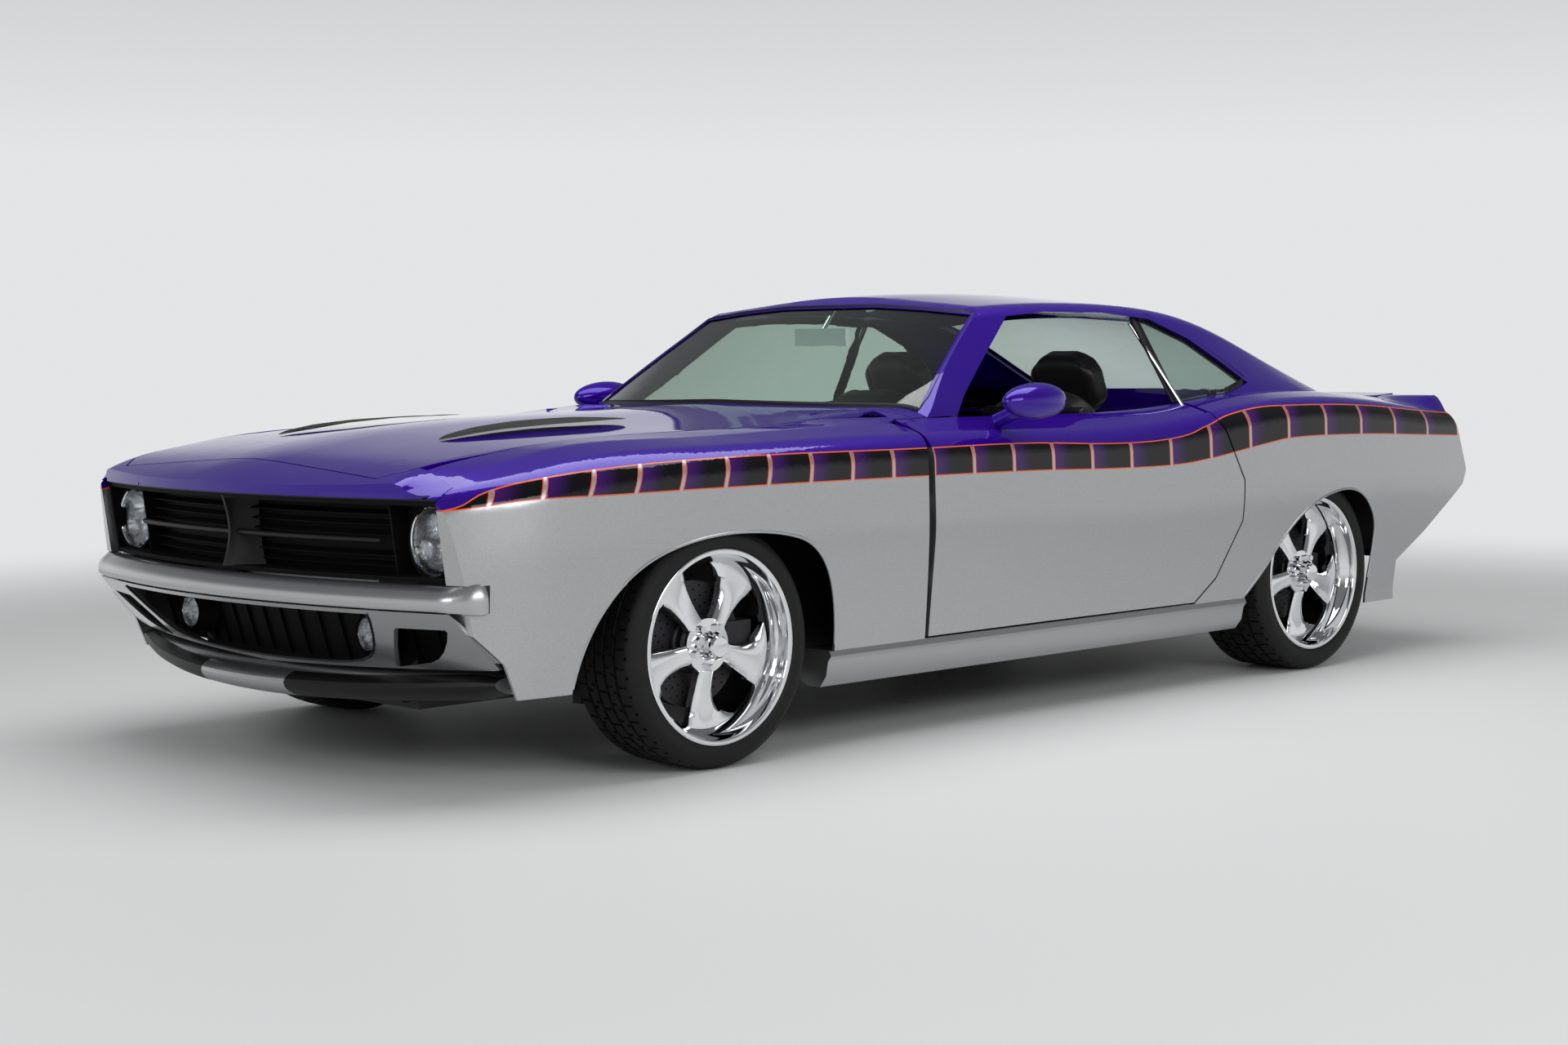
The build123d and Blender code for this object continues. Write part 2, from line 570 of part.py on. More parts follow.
with BuildPart() as chin_spoiler:
    sections = []
    for share in (-1, -0.7, -0.35, 0, 0.35, 0.7, 1):
        with BuildSketch(Plane.XZ.offset(-share * CHIN_HALF)) as section:
            with BuildLine():
                Polyline(*[(x - CHIN_SET_BACK * share**2, z + CHIN_RISE * share**2)
                           for x, z in CHIN_PROFILE], close=True)
            make_face()
        sections.append(section.sketch.face())
    loft(sections=sections)
chin_spoiler.part.label = "chin_spoiler"

with BuildPart() as rear_panel:
    add(tail)
    add(ahead_of_tail(14, TAIL), mode=Mode.SUBTRACT)
    add(lower_body(SKIN + SEAT_FIT, 100), mode=Mode.INTERSECT)
    add(block(-2500, -1900, -1000, 1000, 470, 905), mode=Mode.INTERSECT)
    add(block(-2600, -1400, -646, 646, 862, 1200), mode=Mode.SUBTRACT)
rear_panel.part.label = "rear_panel"

with BuildPart() as tail_lamps:
    add(ahead_of_tail(-5, TAIL))
    add(tail, mode=Mode.SUBTRACT)
    add(block(-2500, -2000, -800, 800, 715, 790), mode=Mode.INTERSECT)
    add(block(-2500, -2000, -230, 230, 700, 800), mode=Mode.SUBTRACT)
tail_lamps.part.label = "tail_lamps"

with BuildPart() as rear_bumper:
    add(ahead_of_tail(-BUMPER_PROUD, TAIL))
    add(tail, mode=Mode.SUBTRACT)
    add(block(-2500, -2000, -902, 902, 600, 668), mode=Mode.INTERSECT)
rear_bumper.part.label = "rear_bumper"

with BuildPart() as rear_valance:
    add(tail)
    add(ahead_of_tail(14, TAIL), mode=Mode.SUBTRACT)
    add(lower_body(SKIN + SEAT_FIT, 100), mode=Mode.INTERSECT)
    add(block(-2500, -1700, -1000, 1000, 345, 469.7), mode=Mode.INTERSECT)
rear_valance.part.label = "rear_valance"

with BuildPart() as rockers:
    for side in (-1, 1):
        outline = [(FLOOR_HALF + SEAT_FIT, 190), (FLOOR_HALF + SEAT_FIT, SILL_TOP_Z), (889, SILL_TOP_Z),
                   (896, 256), (884, 240), (876, 200), (852, 168), (800, 168)]
        add(front_prism([(side * y, z) for y, z in outline], -943, 994))
rockers.part.label = "rockers"

# ---------------------------------------------------------------- glass
with BuildPart() as windshield:
    add(behind_arcs([(z, m - GLASS_SET_IN, e - GLASS_SET_IN) for z, m, e in SCREEN_ARCS], -2300))
    add(behind_arcs([(z, m - 20, e - 20) for z, m, e in SCREEN_ARCS], -2300), mode=Mode.SUBTRACT)
    add(front_prism(facing(SCREEN_FRONT), -20, 1000, grow=-SEAT_FIT), mode=Mode.INTERSECT)
    add(body_out, mode=Mode.SUBTRACT)
windshield.part.label = "windshield"

with BuildPart() as rear_window:
    add(cabin_form(GLASS_SET_IN, 600))
    add(cabin_form(GLASS_SET_IN + GLASS, 560), mode=Mode.SUBTRACT)
    add(top_prism(both(REAR_GLASS_PLAN), 800, 1300, grow=-SEAT_FIT), mode=Mode.INTERSECT)
    add(body_out, mode=Mode.SUBTRACT)
rear_window.part.label = "rear_window"

with BuildPart() as side_glass:
    add(cabin_form(GLASS_SET_IN, 600))
    add(cabin_form(GLASS_SET_IN + GLASS, 560), mode=Mode.SUBTRACT)
    add(block(-1300, 500, 400, 900, 860, 1250), mode=Mode.INTERSECT)
    add(body_out, mode=Mode.SUBTRACT)

with BuildPart() as quarter_windows:
    add(side_glass.part)
    add(side_prism(SIDE_WINDOW, 400, 900, grow=-SEAT_FIT), mode=Mode.INTERSECT)
    add(side_prism([(-740, 800), (-707, 1250), (600, 1250), (600, 800)], 400, 900), mode=Mode.SUBTRACT)
    mirror(about=Plane.XZ)
quarter_windows.part.label = "quarter_windows"

with BuildPart() as door_glass:
    add(mirror(side_glass.part, about=Plane.XZ))
    add(side_prism(SIDE_WINDOW, -900, -400, grow=-PANEL_GAP), mode=Mode.INTERSECT)
    add(side_prism([(-728, 800), (-695, 1250), (-1500, 1250), (-1500, 800)], -900, -400),
        mode=Mode.SUBTRACT)
door_glass.part.label = "door_glass"

# ---------------------------------------------------------------- floor and structure
with BuildPart() as floor:
    add(block(FLOOR_REAR_X, 612, -FLOOR_HALF, FLOOR_HALF, 190, 202))
    add(block(FLOOR_REAR_X, 612, -150, 150, 190, 347))
    add(block(600, 612, -FLOOR_HALF, FLOOR_HALF, 190, 835))
    add(block(600, 720, 640, FLOOR_HALF, 190, 860))
    add(block(600, 720, -FLOOR_HALF, -640, 190, 860))
    add(block(-1000, 800, -138, 138, 100, 335), mode=Mode.SUBTRACT)
    for side in (-1, 1):
        for z_low, z_high in DOOR_EARS:
            y_in, y_out = sorted((side * (FLOOR_HALF - 1), side * DOOR_PIVOT_Y))
            for z in (z_low - EAR_GAP - EAR, z_high + EAR_GAP):
                add(block(DOOR_PIVOT_X - 20, DOOR_PIVOT_X + EYE_R, y_in, y_out, z, z + EAR))
                add(post(DOOR_PIVOT_X, side * DOOR_PIVOT_Y, z, z + EAR, EYE_R))
            add(post(DOOR_PIVOT_X, side * DOOR_PIVOT_Y, z_low - EAR_GAP - 1, z_high + EAR_GAP + 1, PIN_R))
floor.part.label = "floor"

with BuildPart() as trunk_floor:
    add(block(-2020, FLOOR_REAR_X - SEAT_FIT, -628, 628, 450, 462))
    add(block(FLOOR_REAR_X - 12, FLOOR_REAR_X - SEAT_FIT, -FLOOR_HALF, FLOOR_HALF, 190, 462))
    for side in (-1, 1):
        y_in, y_out = sorted((side * 620, side * 628))
        add(block(-1690, -960, y_in, y_out, 385, 706))
        y_in, y_out = sorted((side * 620, side * 960))
        add(block(-1690, -960, y_in, y_out, 698, 706))
        add(block(-2020, -1690, y_in, y_out, 450, 462))
        add(block(-968, -960, y_in, y_out, 462, 706))
        add(block(-1698, -1690, y_in, y_out, 385, 706))
        add(block(-966, FLOOR_REAR_X - 12, y_in, y_out, 452, 462))
    add(block(-1000, -800, -138, 138, 100, 400), mode=Mode.SUBTRACT)
    add(lower_body(SKIN + SEAT_FIT, 100), mode=Mode.INTERSECT)
trunk_floor.part.label = "trunk_floor"

with BuildPart() as aprons:
    for side in (-1, 1):
        y_in, y_out = sorted((side * 496, side * 504))
        add(block(612.3, 2090, y_in, y_out, 190, 800))
        y_in, y_out = sorted((side * 496, side * 640))
        add(block(612.3, 2090, y_in, y_out, 792, 800))
    add(block(2060, 2090, -504, 504, 190, 700))
    add(block(2000, 2500, -340, 340, 330, 690), mode=Mode.SUBTRACT)
    for y_in, y_out in ((-506, -494), (494, 506)):
        add(block(AXLE_FRONT_X - 132, AXLE_FRONT_X + 132, y_in, y_out, 100, 482), mode=Mode.SUBTRACT)
aprons.part.label = "aprons"

with BuildPart() as rails:
    for side in (-1, 1):
        y_in, y_out = sorted((side * 400, side * 460))
        add(block(-900, 2110, y_in, y_out, 145, 189.7))
        add(block(-1940, FLOOR_REAR_X - 12.3, y_in, y_out, 400, 449.7))
        add(block(-990, FLOOR_REAR_X - 12.3, y_in, y_out, 145, 449.7))
        add(block(-990, -880, y_in, y_out, 145, 189.7))
        y_in, y_out = sorted((side * 400, side * 620))
        add(block(-985, -930, y_in, y_out, 200, 290))
        y_in, y_out = sorted((side * 400, side * 605))
        add(block(-1900, -1850, y_in, y_out, 405, 449.7))
    add(block(1180, 1300, -400, 400, 145, 249.7))
    add(block(-985, -930, -400, 400, 390, 449.7))
    add(block(2060, 2110, -400, 400, 145, 189.7))
rails.part.label = "rails"

with BuildPart() as engine:
    add(block(ENGINE_REAR_X, 1380, -225, 225, 250, 560))
    add(block(800, 1360, -310, 310, 470, 640))
    add(block(860, 1300, -150, 150, 560, 720))
    add(rod((1090, 0, 715), (1090, 0, 815), 190))
    add(rod((1370, 0, 330), (1440, 0, 330), 100))
    add(rod((1370, 0, 560), (1430, 0, 560), 80))
engine.part.label = "engine"

with BuildPart() as driveline:
    add(block(260, ENGINE_REAR_X - SEAT_FIT, -115, 115, 200, 320))
    add(rod((640, 0, 300), (ENGINE_REAR_X - SEAT_FIT, 0, 300), 130).intersect(
        block(600, 800, -200, 200, 140, 330)))
    add(rod((270, 0, 262), (PINION_X + 1.3, 0, 300), 36))
driveline.part.label = "driveline"

with BuildPart() as radiator:
    add(block(2010, 2059.7, -339, 339, 331, 700))
    add(rod((2010, 0, 530), (1955, 0, 530), 210))
radiator.part.label = "radiator"

with BuildPart() as exhaust:
    for side in (-1, 1):
        add(rod((820, side * 290, 300), (700, side * 290, 162), 24))
        add(rod((708, side * 290, 162), (-1040, side * 290, 162), 24))
        add(rod((-1020, side * 290, 162), (-1500, side * 290, 205), 24))
        add(rod((-1480, side * 290, 210), (-1800, side * 290, 232), 62))
        add(rod((-1790, side * 290, 238), (-1990, side * 290, 300), 30))
        add(rod((820, side * 290, 300), (820, side * 290, 469.7), 30))
exhaust.part.label = "exhaust"

with BuildPart() as fuel_tank:
    with Locations((-1800, 0, 380)):
        Box(190, 380, 139.4)
    fillet(fuel_tank.edges().filter_by(Axis.Z), 40)
fuel_tank.part.label = "fuel_tank"

with BuildPart() as front_arms:
    for side in (-1, 1):
        for z_low, z_high, x_wide in ((176, 196, 110), (452, 468, 80)):
            with BuildSketch(Plane.XY.offset(z_low)):
                with BuildLine():
                    Polyline((AXLE_FRONT_X - x_wide, side * 462),
                             (AXLE_FRONT_X - ARM_END_R, side * KINGPIN_Y),
                             (AXLE_FRONT_X + ARM_END_R, side * KINGPIN_Y),
                             (AXLE_FRONT_X + x_wide, side * 462), close=True)
                make_face()
                with Locations((AXLE_FRONT_X, side * KINGPIN_Y)):
                    Circle(ARM_END_R)
            extrude(amount=z_high - z_low)
        y_in, y_out = sorted((side * 460.3, side * 495.7))
        add(block(AXLE_FRONT_X - 130, AXLE_FRONT_X + 130, y_in, y_out, 146, 480))
        for z_low, z_high in ((190, 226), (422, 460)):
            add(post(AXLE_FRONT_X, side * KINGPIN_Y, z_low, z_high, BALL_PIN_R))
front_arms.part.label = "front_arms"

with BuildPart() as rear_axle:
    add(rod((AXLE_REAR_X, -690, TYRE_R_REAR), (AXLE_REAR_X, 690, TYRE_R_REAR), 38))
    with Locations((AXLE_REAR_X, 0, TYRE_R_REAR)):
        Sphere(115)
    add(rod((AXLE_REAR_X, 0, 300), (PINION_X, 0, 300), 50))
    for side in (-1, 1):
        outline = [(-985.3, 225), (-985.3, 260), (-1240, 300), (-1400, 300), (-1849.7, 400), (-1849.7, 370),
                   (-1400, 270), (-1240, 270)]
        y_in, y_out = sorted((side * 535, side * 595))
        add(side_prism(outline, y_in, y_out))
        y_in, y_out = sorted((side * 690, side * (REAR_DISC_Y - 20)))
        add(rod((AXLE_REAR_X, y_in, TYRE_R_REAR), (AXLE_REAR_X, y_out, TYRE_R_REAR), 60))
        add(rod((AXLE_REAR_X, side * 700, TYRE_R_REAR), (AXLE_REAR_X, side * (REAR_DISC_Y + 60), TYRE_R_REAR),
                SPINDLE_R))
        add(caliper(AXLE_REAR_X, side, TYRE_R_REAR, REAR_DISC_Y, 162))
rear_axle.part.label = "rear_axle"

# ---------------------------------------------------------------- cabin
with BuildPart() as dash:
    add(side_prism([(599.7, 640), (599.7, 820), (505, 840), (490, 898), (420, 900), (330, 880), (318, 800),
                    (350, 690), (420, 640)], -725, 725))
dash.part.label = "dash"

with BuildPart() as steering_wheel:
    with Locations(Location((96, 372, 770), (0, 66, 0))):
        Torus(178, 14)
        Box(30, 350, 12)
        Cylinder(45, 40)
    add(rod((96, 372, 770), (325, 372, 872), 22))
    add(dash.part, mode=Mode.SUBTRACT)
steering_wheel.part.label = "steering_wheel"

with BuildPart() as console:
    add(side_prism([(340, 347.3), (340, 620), (230, 560), (-500, 520), (-620, 500), (-620, 347.3)],
                   -110, 110))
console.part.label = "console"

with BuildPart() as seat_left:
    with BuildSketch(Plane.XZ.offset(-(SEAT_Y - 234))):
        with BuildLine():
            FilletPolyline((-60, 300), (-40, 420), (-90, 452), (-440, 410), (-640, 905), (-560, 1010),
                           (-610, 1084), (-690, 1080), (-760, 960), (-560, 330), radius=22, close=True)
        make_face()
    extrude(amount=-468)
    add(block(-540, -100, SEAT_Y - 200, SEAT_Y + 200, 202.3, 330))
seat_left.part.label = "seat_left"

with BuildPart() as seat_right:
    mirror(seat_left.part, about=Plane.XZ)
seat_right.part.label = "seat_right"

with BuildPart() as rear_seat:
    add(side_prism([(-660, 347.3), (-650, 470), (-690, 497), (-960, 486), (-1040, 800), (-1060, 850), (-1170, 850),
                    (-1150, 500), (-1140, 462.3), (FLOOR_REAR_X + SEAT_FIT, 462.3),
                    (FLOOR_REAR_X + SEAT_FIT, 347.3)], -615, 615))
rear_seat.part.label = "rear_seat"

with BuildPart() as interior_mirror:
    add(block(112, 128, -115, 115, 1105, 1160))
    add(rod((118, 0, 1150), (40, 0, 1245), 8))
    add(cabin_in, mode=Mode.INTERSECT)
interior_mirror.part.label = "interior_mirror"

# ---------------------------------------------------------------- hubs and wheels
with BuildPart() as knuckle_left:
    add(post(AXLE_FRONT_X, KINGPIN_Y, 202, 446, 26))
    add(rod((AXLE_FRONT_X, KINGPIN_Y, TYRE_R_FRONT), (AXLE_FRONT_X, FRONT_DISC_Y - 20, TYRE_R_FRONT), 60))
    add(rod((AXLE_FRONT_X, KINGPIN_Y, TYRE_R_FRONT), (AXLE_FRONT_X, FRONT_DISC_Y + 60, TYRE_R_FRONT), SPINDLE_R))
    add(caliper(AXLE_FRONT_X, 1, TYRE_R_FRONT, FRONT_DISC_Y, 170))
    for z_low, z_high in ((190, 226.5), (421.5, 460)):
        add(post(AXLE_FRONT_X, KINGPIN_Y, z_low, z_high, BALL_PIN_BORE_R), mode=Mode.SUBTRACT)
knuckle_left.part.label = "knuckle_left"

with BuildPart() as knuckle_right:
    mirror(knuckle_left.part, about=Plane.XZ)
knuckle_right.part.label = "knuckle_right"

wheel_nodes = []
for end, x, y_mid, half, radius, disc_y, disc_r in WHEELS:
    with BuildPart() as tyre:
        with BuildSketch(Plane.XY):
            with BuildLine():
                wall = (LIP_R + radius) / 2
                Polyline((BEAD_R, half - 24), (BEAD_R, half - 9.5), (LIP_R + 1.5, half - 9.5))
                ThreePointArc((LIP_R + 1.5, half - 9.5), (wall, half), (radius - 9, half - 15))
                ThreePointArc((radius - 9, half - 15), (radius - 3, half - 21), (radius - 0.8, half - 34))
                ThreePointArc((radius - 0.8, half - 34), (radius, 0), (radius - 0.8, 34 - half))
                ThreePointArc((radius - 0.8, 34 - half), (radius - 3, 21 - half), (radius - 9, 15 - half))
                ThreePointArc((radius - 9, 15 - half), (wall, -half), (LIP_R + 1.5, 9.5 - half))
                Polyline((LIP_R + 1.5, 9.5 - half), (BEAD_R, 9.5 - half), (BEAD_R, 24 - half))
                inner = 0.55 * BEAD_R + 0.45 * radius
                ThreePointArc((BEAD_R, 24 - half), (inner, 11 - half), (radius - 16, 30 - half))
                Line((radius - 16, 30 - half), (radius - 16, half - 30))
                ThreePointArc((radius - 16, half - 30), (inner, half - 11), (BEAD_R, half - 24))
            make_face()
        revolve(axis=Axis.Y)
    with BuildPart() as rim:
        with BuildSketch(Plane.XY):
            with BuildLine():
                Polyline((LIP_R, half - 3.5), (LIP_R, half - 9.2), (BEAD_R - 0.3, half - 9.2),
                         (BEAD_R - 0.3, half - 26),
                         (BEAD_R - 16, half - 44), (BEAD_R - 16, 44 - half), (BEAD_R - 0.3, 26 - half),
                         (BEAD_R - 0.3, 9.2 - half), (LIP_R, 9.2 - half), (LIP_R, 3.5 - half), (BEAD_R - 6, 4 - half),
                         (BEAD_R - 8, 28 - half), (BEAD_R - 23, 46 - half), (BEAD_R - 23, half - 46),
                         (BEAD_R - 8, half - 28), (BEAD_R - 6, half - 4), close=True)
            make_face()
        revolve(axis=Axis.Y)
        hub_face = disc_y + 40 - y_mid
        with BuildSketch(Plane.XZ.offset(-(hub_face + 8))):
            with PolarLocations(0, 5, start_angle=90):
                with BuildLine():
                    ThreePointArc((30, -26), (140, -44), (BEAD_R - 20, -30))
                    Line((BEAD_R - 20, -30), (BEAD_R - 20, 62))
                    ThreePointArc((BEAD_R - 20, 62), (140, 8), (30, 26))
                    Line((30, 26), (30, -26))
                make_face()
        extrude(amount=-26)
        with Locations(Location((0, hub_face + 22, 0), (90, 0, 0))):
            Cylinder(68, 44)
        with Locations(Location((0, hub_face + 45, 0), (90, 0, 0))):
            Cylinder(30, 90)
        with Locations(Location((0, hub_face - 20, 0), (90, 0, 0))):
            Cylinder(SPINDLE_BORE_R, 81, mode=Mode.SUBTRACT)
    with BuildPart() as disc:
        with Locations(Location((0, disc_y - y_mid, 0), (90, 0, 0))):
            Cylinder(disc_r, DISC_THICK)
        with Locations(Location((0, disc_y - y_mid + 20, 0), (90, 0, 0))):
            Cylinder(78, 39.7)
        with Locations(Location((0, disc_y - y_mid, 0), (90, 0, 0))):
            Cylinder(SPINDLE_BORE_R, 200, mode=Mode.SUBTRACT)
    for side, hand in ((1, "left"), (-1, "right")):
        for name, piece in (("tyre", tyre), ("rim", rim), ("disc", disc)):
            label = f"{name}_{end}_{hand}"
            solid = Pos(x, y_mid, radius) * piece.part
            if side < 0:
                solid = solid.mirror(Plane.XZ)
            solid.label = label
            wheel_nodes.append(solid)

nodes = [item.part for item in (
    fender_left, fender_right, header, hood, hood_scoops, cowl, door_left, door_right,
    quarter_left, quarter_right, trunk_lid, deck_panel, roof, grille, front_lamps,
    front_bumper, front_valance, chin_spoiler, rear_panel, tail_lamps, rear_bumper,
    rear_valance, rockers, windshield, rear_window, quarter_windows, door_glass,
    floor, trunk_floor, aprons, rails, engine, driveline, radiator, exhaust, fuel_tank,
    front_arms, rear_axle, dash, steering_wheel, console, seat_left, seat_right, rear_seat,
    interior_mirror, knuckle_left, knuckle_right)] + wheel_nodes
for node in nodes:
    export_step(node, f"parts/{node.label}.step")
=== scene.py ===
# %% [markdown]
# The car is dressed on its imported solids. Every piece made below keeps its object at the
# origin and has its place in its mesh.

# %% Load the frame
import bmesh
import bpy
import json
import math
from mathutils import Matrix, Vector
from mathutils.bvhtree import BVHTree


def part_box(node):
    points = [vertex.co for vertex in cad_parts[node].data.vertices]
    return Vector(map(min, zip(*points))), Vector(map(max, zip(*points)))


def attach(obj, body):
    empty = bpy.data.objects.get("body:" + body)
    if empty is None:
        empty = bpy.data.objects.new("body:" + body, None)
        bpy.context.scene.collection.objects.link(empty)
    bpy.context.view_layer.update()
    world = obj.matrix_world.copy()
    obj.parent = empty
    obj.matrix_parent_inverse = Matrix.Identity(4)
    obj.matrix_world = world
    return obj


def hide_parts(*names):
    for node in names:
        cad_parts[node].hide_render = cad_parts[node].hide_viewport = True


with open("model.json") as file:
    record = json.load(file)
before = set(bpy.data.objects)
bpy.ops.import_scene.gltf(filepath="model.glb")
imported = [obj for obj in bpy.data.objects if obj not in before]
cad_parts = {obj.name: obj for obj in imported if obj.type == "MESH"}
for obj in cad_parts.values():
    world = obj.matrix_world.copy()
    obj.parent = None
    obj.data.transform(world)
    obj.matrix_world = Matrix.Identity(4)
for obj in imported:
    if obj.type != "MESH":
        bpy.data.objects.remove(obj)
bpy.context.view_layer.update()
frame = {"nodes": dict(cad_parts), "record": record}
nodes = frame["nodes"]
HANDS = ((1, "left"), (-1, "right"))    # sign of y and name of each side of the car

# %% [markdown]
# A long lens far from the car keeps its proportions true. The camera stands at waist
# height ahead of the left front wheel and looks slightly down. Its axes are worked out
# from three angles, because a matrix built from them has no hidden turn. Blender shows
# only what is linked to the scene, so one helper makes an object and links it.

# %% Camera
def linked(name, data):
    """A new object that holds data and is linked to the scene."""
    thing = bpy.data.objects.new(name, data)
    bpy.context.scene.collection.objects.link(thing)
    return thing


CAMERA_PLACE = Vector((5.778, 5.637, 1.088))
CAMERA_YAW = math.radians(225.81)
CAMERA_PITCH = math.radians(-3.93)
CAMERA_ROLL = math.radians(-0.53)
LENS_MM = 56.84
SENSOR_MM = 36.0

look = Vector((math.cos(CAMERA_YAW) * math.cos(CAMERA_PITCH),
               math.sin(CAMERA_YAW) * math.cos(CAMERA_PITCH), math.sin(CAMERA_PITCH)))
right = look.cross(Vector((0, 0, 1))).normalized()
up = right.cross(look)
tilted_right = right * math.cos(CAMERA_ROLL) + up * math.sin(CAMERA_ROLL)
tilted_up = up * math.cos(CAMERA_ROLL) - right * math.sin(CAMERA_ROLL)
camera_data = bpy.data.cameras.new("camera")
camera_data.sensor_width = SENSOR_MM
camera_data.lens = LENS_MM
camera = linked("camera", camera_data)
turn = Matrix((tilted_right, tilted_up, -look)).transposed().to_4x4()
camera.matrix_world = Matrix.Translation(CAMERA_PLACE) @ turn
bpy.context.scene.camera = camera

# %% [markdown]
# Colours are written as sRGB hex, the way a paint chart gives them, and Blender's shaders
# work in linear light, so one function turns them. One more function adds a shader node,
# sets its properties and fills its sockets with numbers or links.

# %% Colour and node helpers
def colour(hex_code):
    """Linear colour of an sRGB hex code."""
    parts = [int(hex_code[i:i + 2], 16) / 255 for i in (0, 2, 4)]
    linear = [p / 12.92 if p <= 0.04045 else ((p + 0.055) / 1.055) ** 2.4 for p in parts]
    return (*linear, 1.0)


def add_node(material, kind, inputs=None, **settings):
    """Adds a node, sets its properties, then fills or links its inputs by name or number."""
    tree = material.node_tree
    node = tree.nodes.new("ShaderNode" + kind)
    for name, value in settings.items():
        setattr(node, name, value)
    for socket, value in (inputs or {}).items():
        if isinstance(value, bpy.types.NodeSocket):
            tree.links.new(value, node.inputs[socket])
        else:
            node.inputs[socket].default_value = value
    return node


def finish(name, base, **sockets):
    """A named material with its plain values on the Principled shader's own sockets."""
    material = bpy.data.materials.new(name)
    material.use_nodes = True
    shader = material.node_tree.nodes["Principled BSDF"]
    shader.inputs["Base Color"].default_value = colour(base)
    for socket, value in sockets.items():
        shader.inputs[socket.replace("_", " ")].default_value = value
    return material, shader


def place_mm(material):
    """Object coordinates in millimetres, so that pattern scales are real sizes."""
    where = add_node(material, "TexCoord").outputs["Object"]
    return add_node(material, "VectorMath", {0: where, 3: 1000.0}, operation="SCALE").outputs[0]


def grained(name, base, size_mm, tones, bump=0.0, rough=None, **sockets):
    """A finish whose colour, bump and roughness drift with one noise of a real size."""
    material, shader = finish(name, base, **sockets)
    where = place_mm(material)
    noise = add_node(material, "TexNoise", {"Vector": where, "Scale": 1 / size_mm, "Detail": 4.0})
    share = noise.outputs["Fac"]
    mix = add_node(material, "Mix", {0: share, 6: colour(tones[0]), 7: colour(tones[1])}, data_type="RGBA")
    links = material.node_tree.links
    links.new(mix.outputs[2], shader.inputs["Base Color"])
    if bump:
        raised = add_node(material, "Bump", {"Strength": bump, "Distance": 0.001, "Height": share})
        links.new(raised.outputs[0], shader.inputs["Normal"])
    if rough:
        spread = add_node(material, "MapRange", {0: share, 3: rough[0], 4: rough[1]})
        links.new(spread.outputs[0], shader.inputs["Roughness"])
    return material


# %% [markdown]
# The floor and backdrop are one plain pale sweep. The world lights the car softly and
# evenly, and camera, mirror and glass rays see a paler tone than the one that lights it,
# so the background is light while the paint keeps its depth.

# %% Studio
WORLD_LIGHT = 0.42         # strength with which the world lights the car
WORLD_SEEN = 0.86          # strength with which the walls are seen
WORLD_TOP = 0.20           # a studio ceiling is darker than its walls, and paint shows that
WORLD_RISE = (0.08, 0.36)  # upward part of a ray's direction over which wall turns to ceiling
WORLD_TONE = "F3F4F5"
FLOOR_FADE = (3.3, 7.5)    # metres from the middle over which the floor turns into the backdrop
FLOOR_R = 40


def seen_directly(holder):
    """1 for a camera, mirror or glass ray, and 0 for light that falls on a surface."""
    path = add_node(holder, "LightPath").outputs
    seen = path["Is Camera Ray"]
    for kind in ("Is Glossy Ray", "Is Transmission Ray"):
        seen = add_node(holder, "Math", {0: seen, 1: path[kind]}, operation="MAXIMUM").outputs[0]
    return seen


def pale_surface(name, shade):
    """Matt floor that turns into the pale backdrop far out, as the cove of a studio does."""
    material, shader = finish(name, shade, Roughness=0.55)
    where = add_node(material, "TexCoord").outputs["Object"]
    reach = add_node(material, "VectorMath", {0: where}, operation="LENGTH").outputs["Value"]
    far = add_node(material, "MapRange", {0: reach, 1: FLOOR_FADE[0], 2: FLOOR_FADE[1]},
                   interpolation_type="SMOOTHSTEP").outputs[0]
    share = add_node(material, "Math", {0: far, 1: seen_directly(material)}, operation="MULTIPLY").outputs[0]
    glow = add_node(material, "Emission", {"Color": colour(WORLD_TONE), "Strength": WORLD_SEEN})
    mixed = add_node(material, "MixShader", {0: share, 1: shader.outputs[0], 2: glow.outputs[0]})
    end = material.node_tree.nodes["Material Output"]
    material.node_tree.links.new(mixed.outputs[0], end.inputs["Surface"])
    return material


def studio_floor():
    mesh = bpy.data.meshes.new("floor")
    bm = bmesh.new()
    bmesh.ops.create_circle(bm, cap_ends=True, segments=96, radius=FLOOR_R)
    bm.to_mesh(mesh)
    bm.free()
    mesh.materials.append(pale_surface("matt_studio_floor", "D9DADA"))
    linked("studio_floor", mesh)


def studio_world():
    world = bpy.data.worlds.new("studio")
    bpy.context.scene.world = world
    world.use_nodes = True
    tree = world.node_tree
    back = tree.nodes["Background"]
    where = add_node(world, "TexCoord").outputs["Generated"]
    height = add_node(world, "SeparateXYZ", {0: where}).outputs[2]
    dome = add_node(world, "MapRange", {0: height, 1: WORLD_RISE[0], 2: WORLD_RISE[1], 3: WORLD_SEEN,
                                        4: WORLD_TOP})
    level = add_node(world, "MapRange", {0: seen_directly(world), 3: WORLD_LIGHT, 4: dome.outputs[0]})
    back.inputs["Color"].default_value = colour(WORLD_TONE)
    tree.links.new(level.outputs[0], back.inputs["Strength"])


def soft_box(name, place, aim, width, depth, power):
    """A wide flat lamp at place that faces aim."""
    light = bpy.data.lights.new(name, "AREA")
    light.shape = "RECTANGLE"
    light.size = width
    light.size_y = depth
    light.energy = power
    lamp = linked(name, light)
    lamp.location = place
    lamp.rotation_euler = (Vector(aim) - Vector(place)).to_track_quat("-Z", "Y").to_euler()


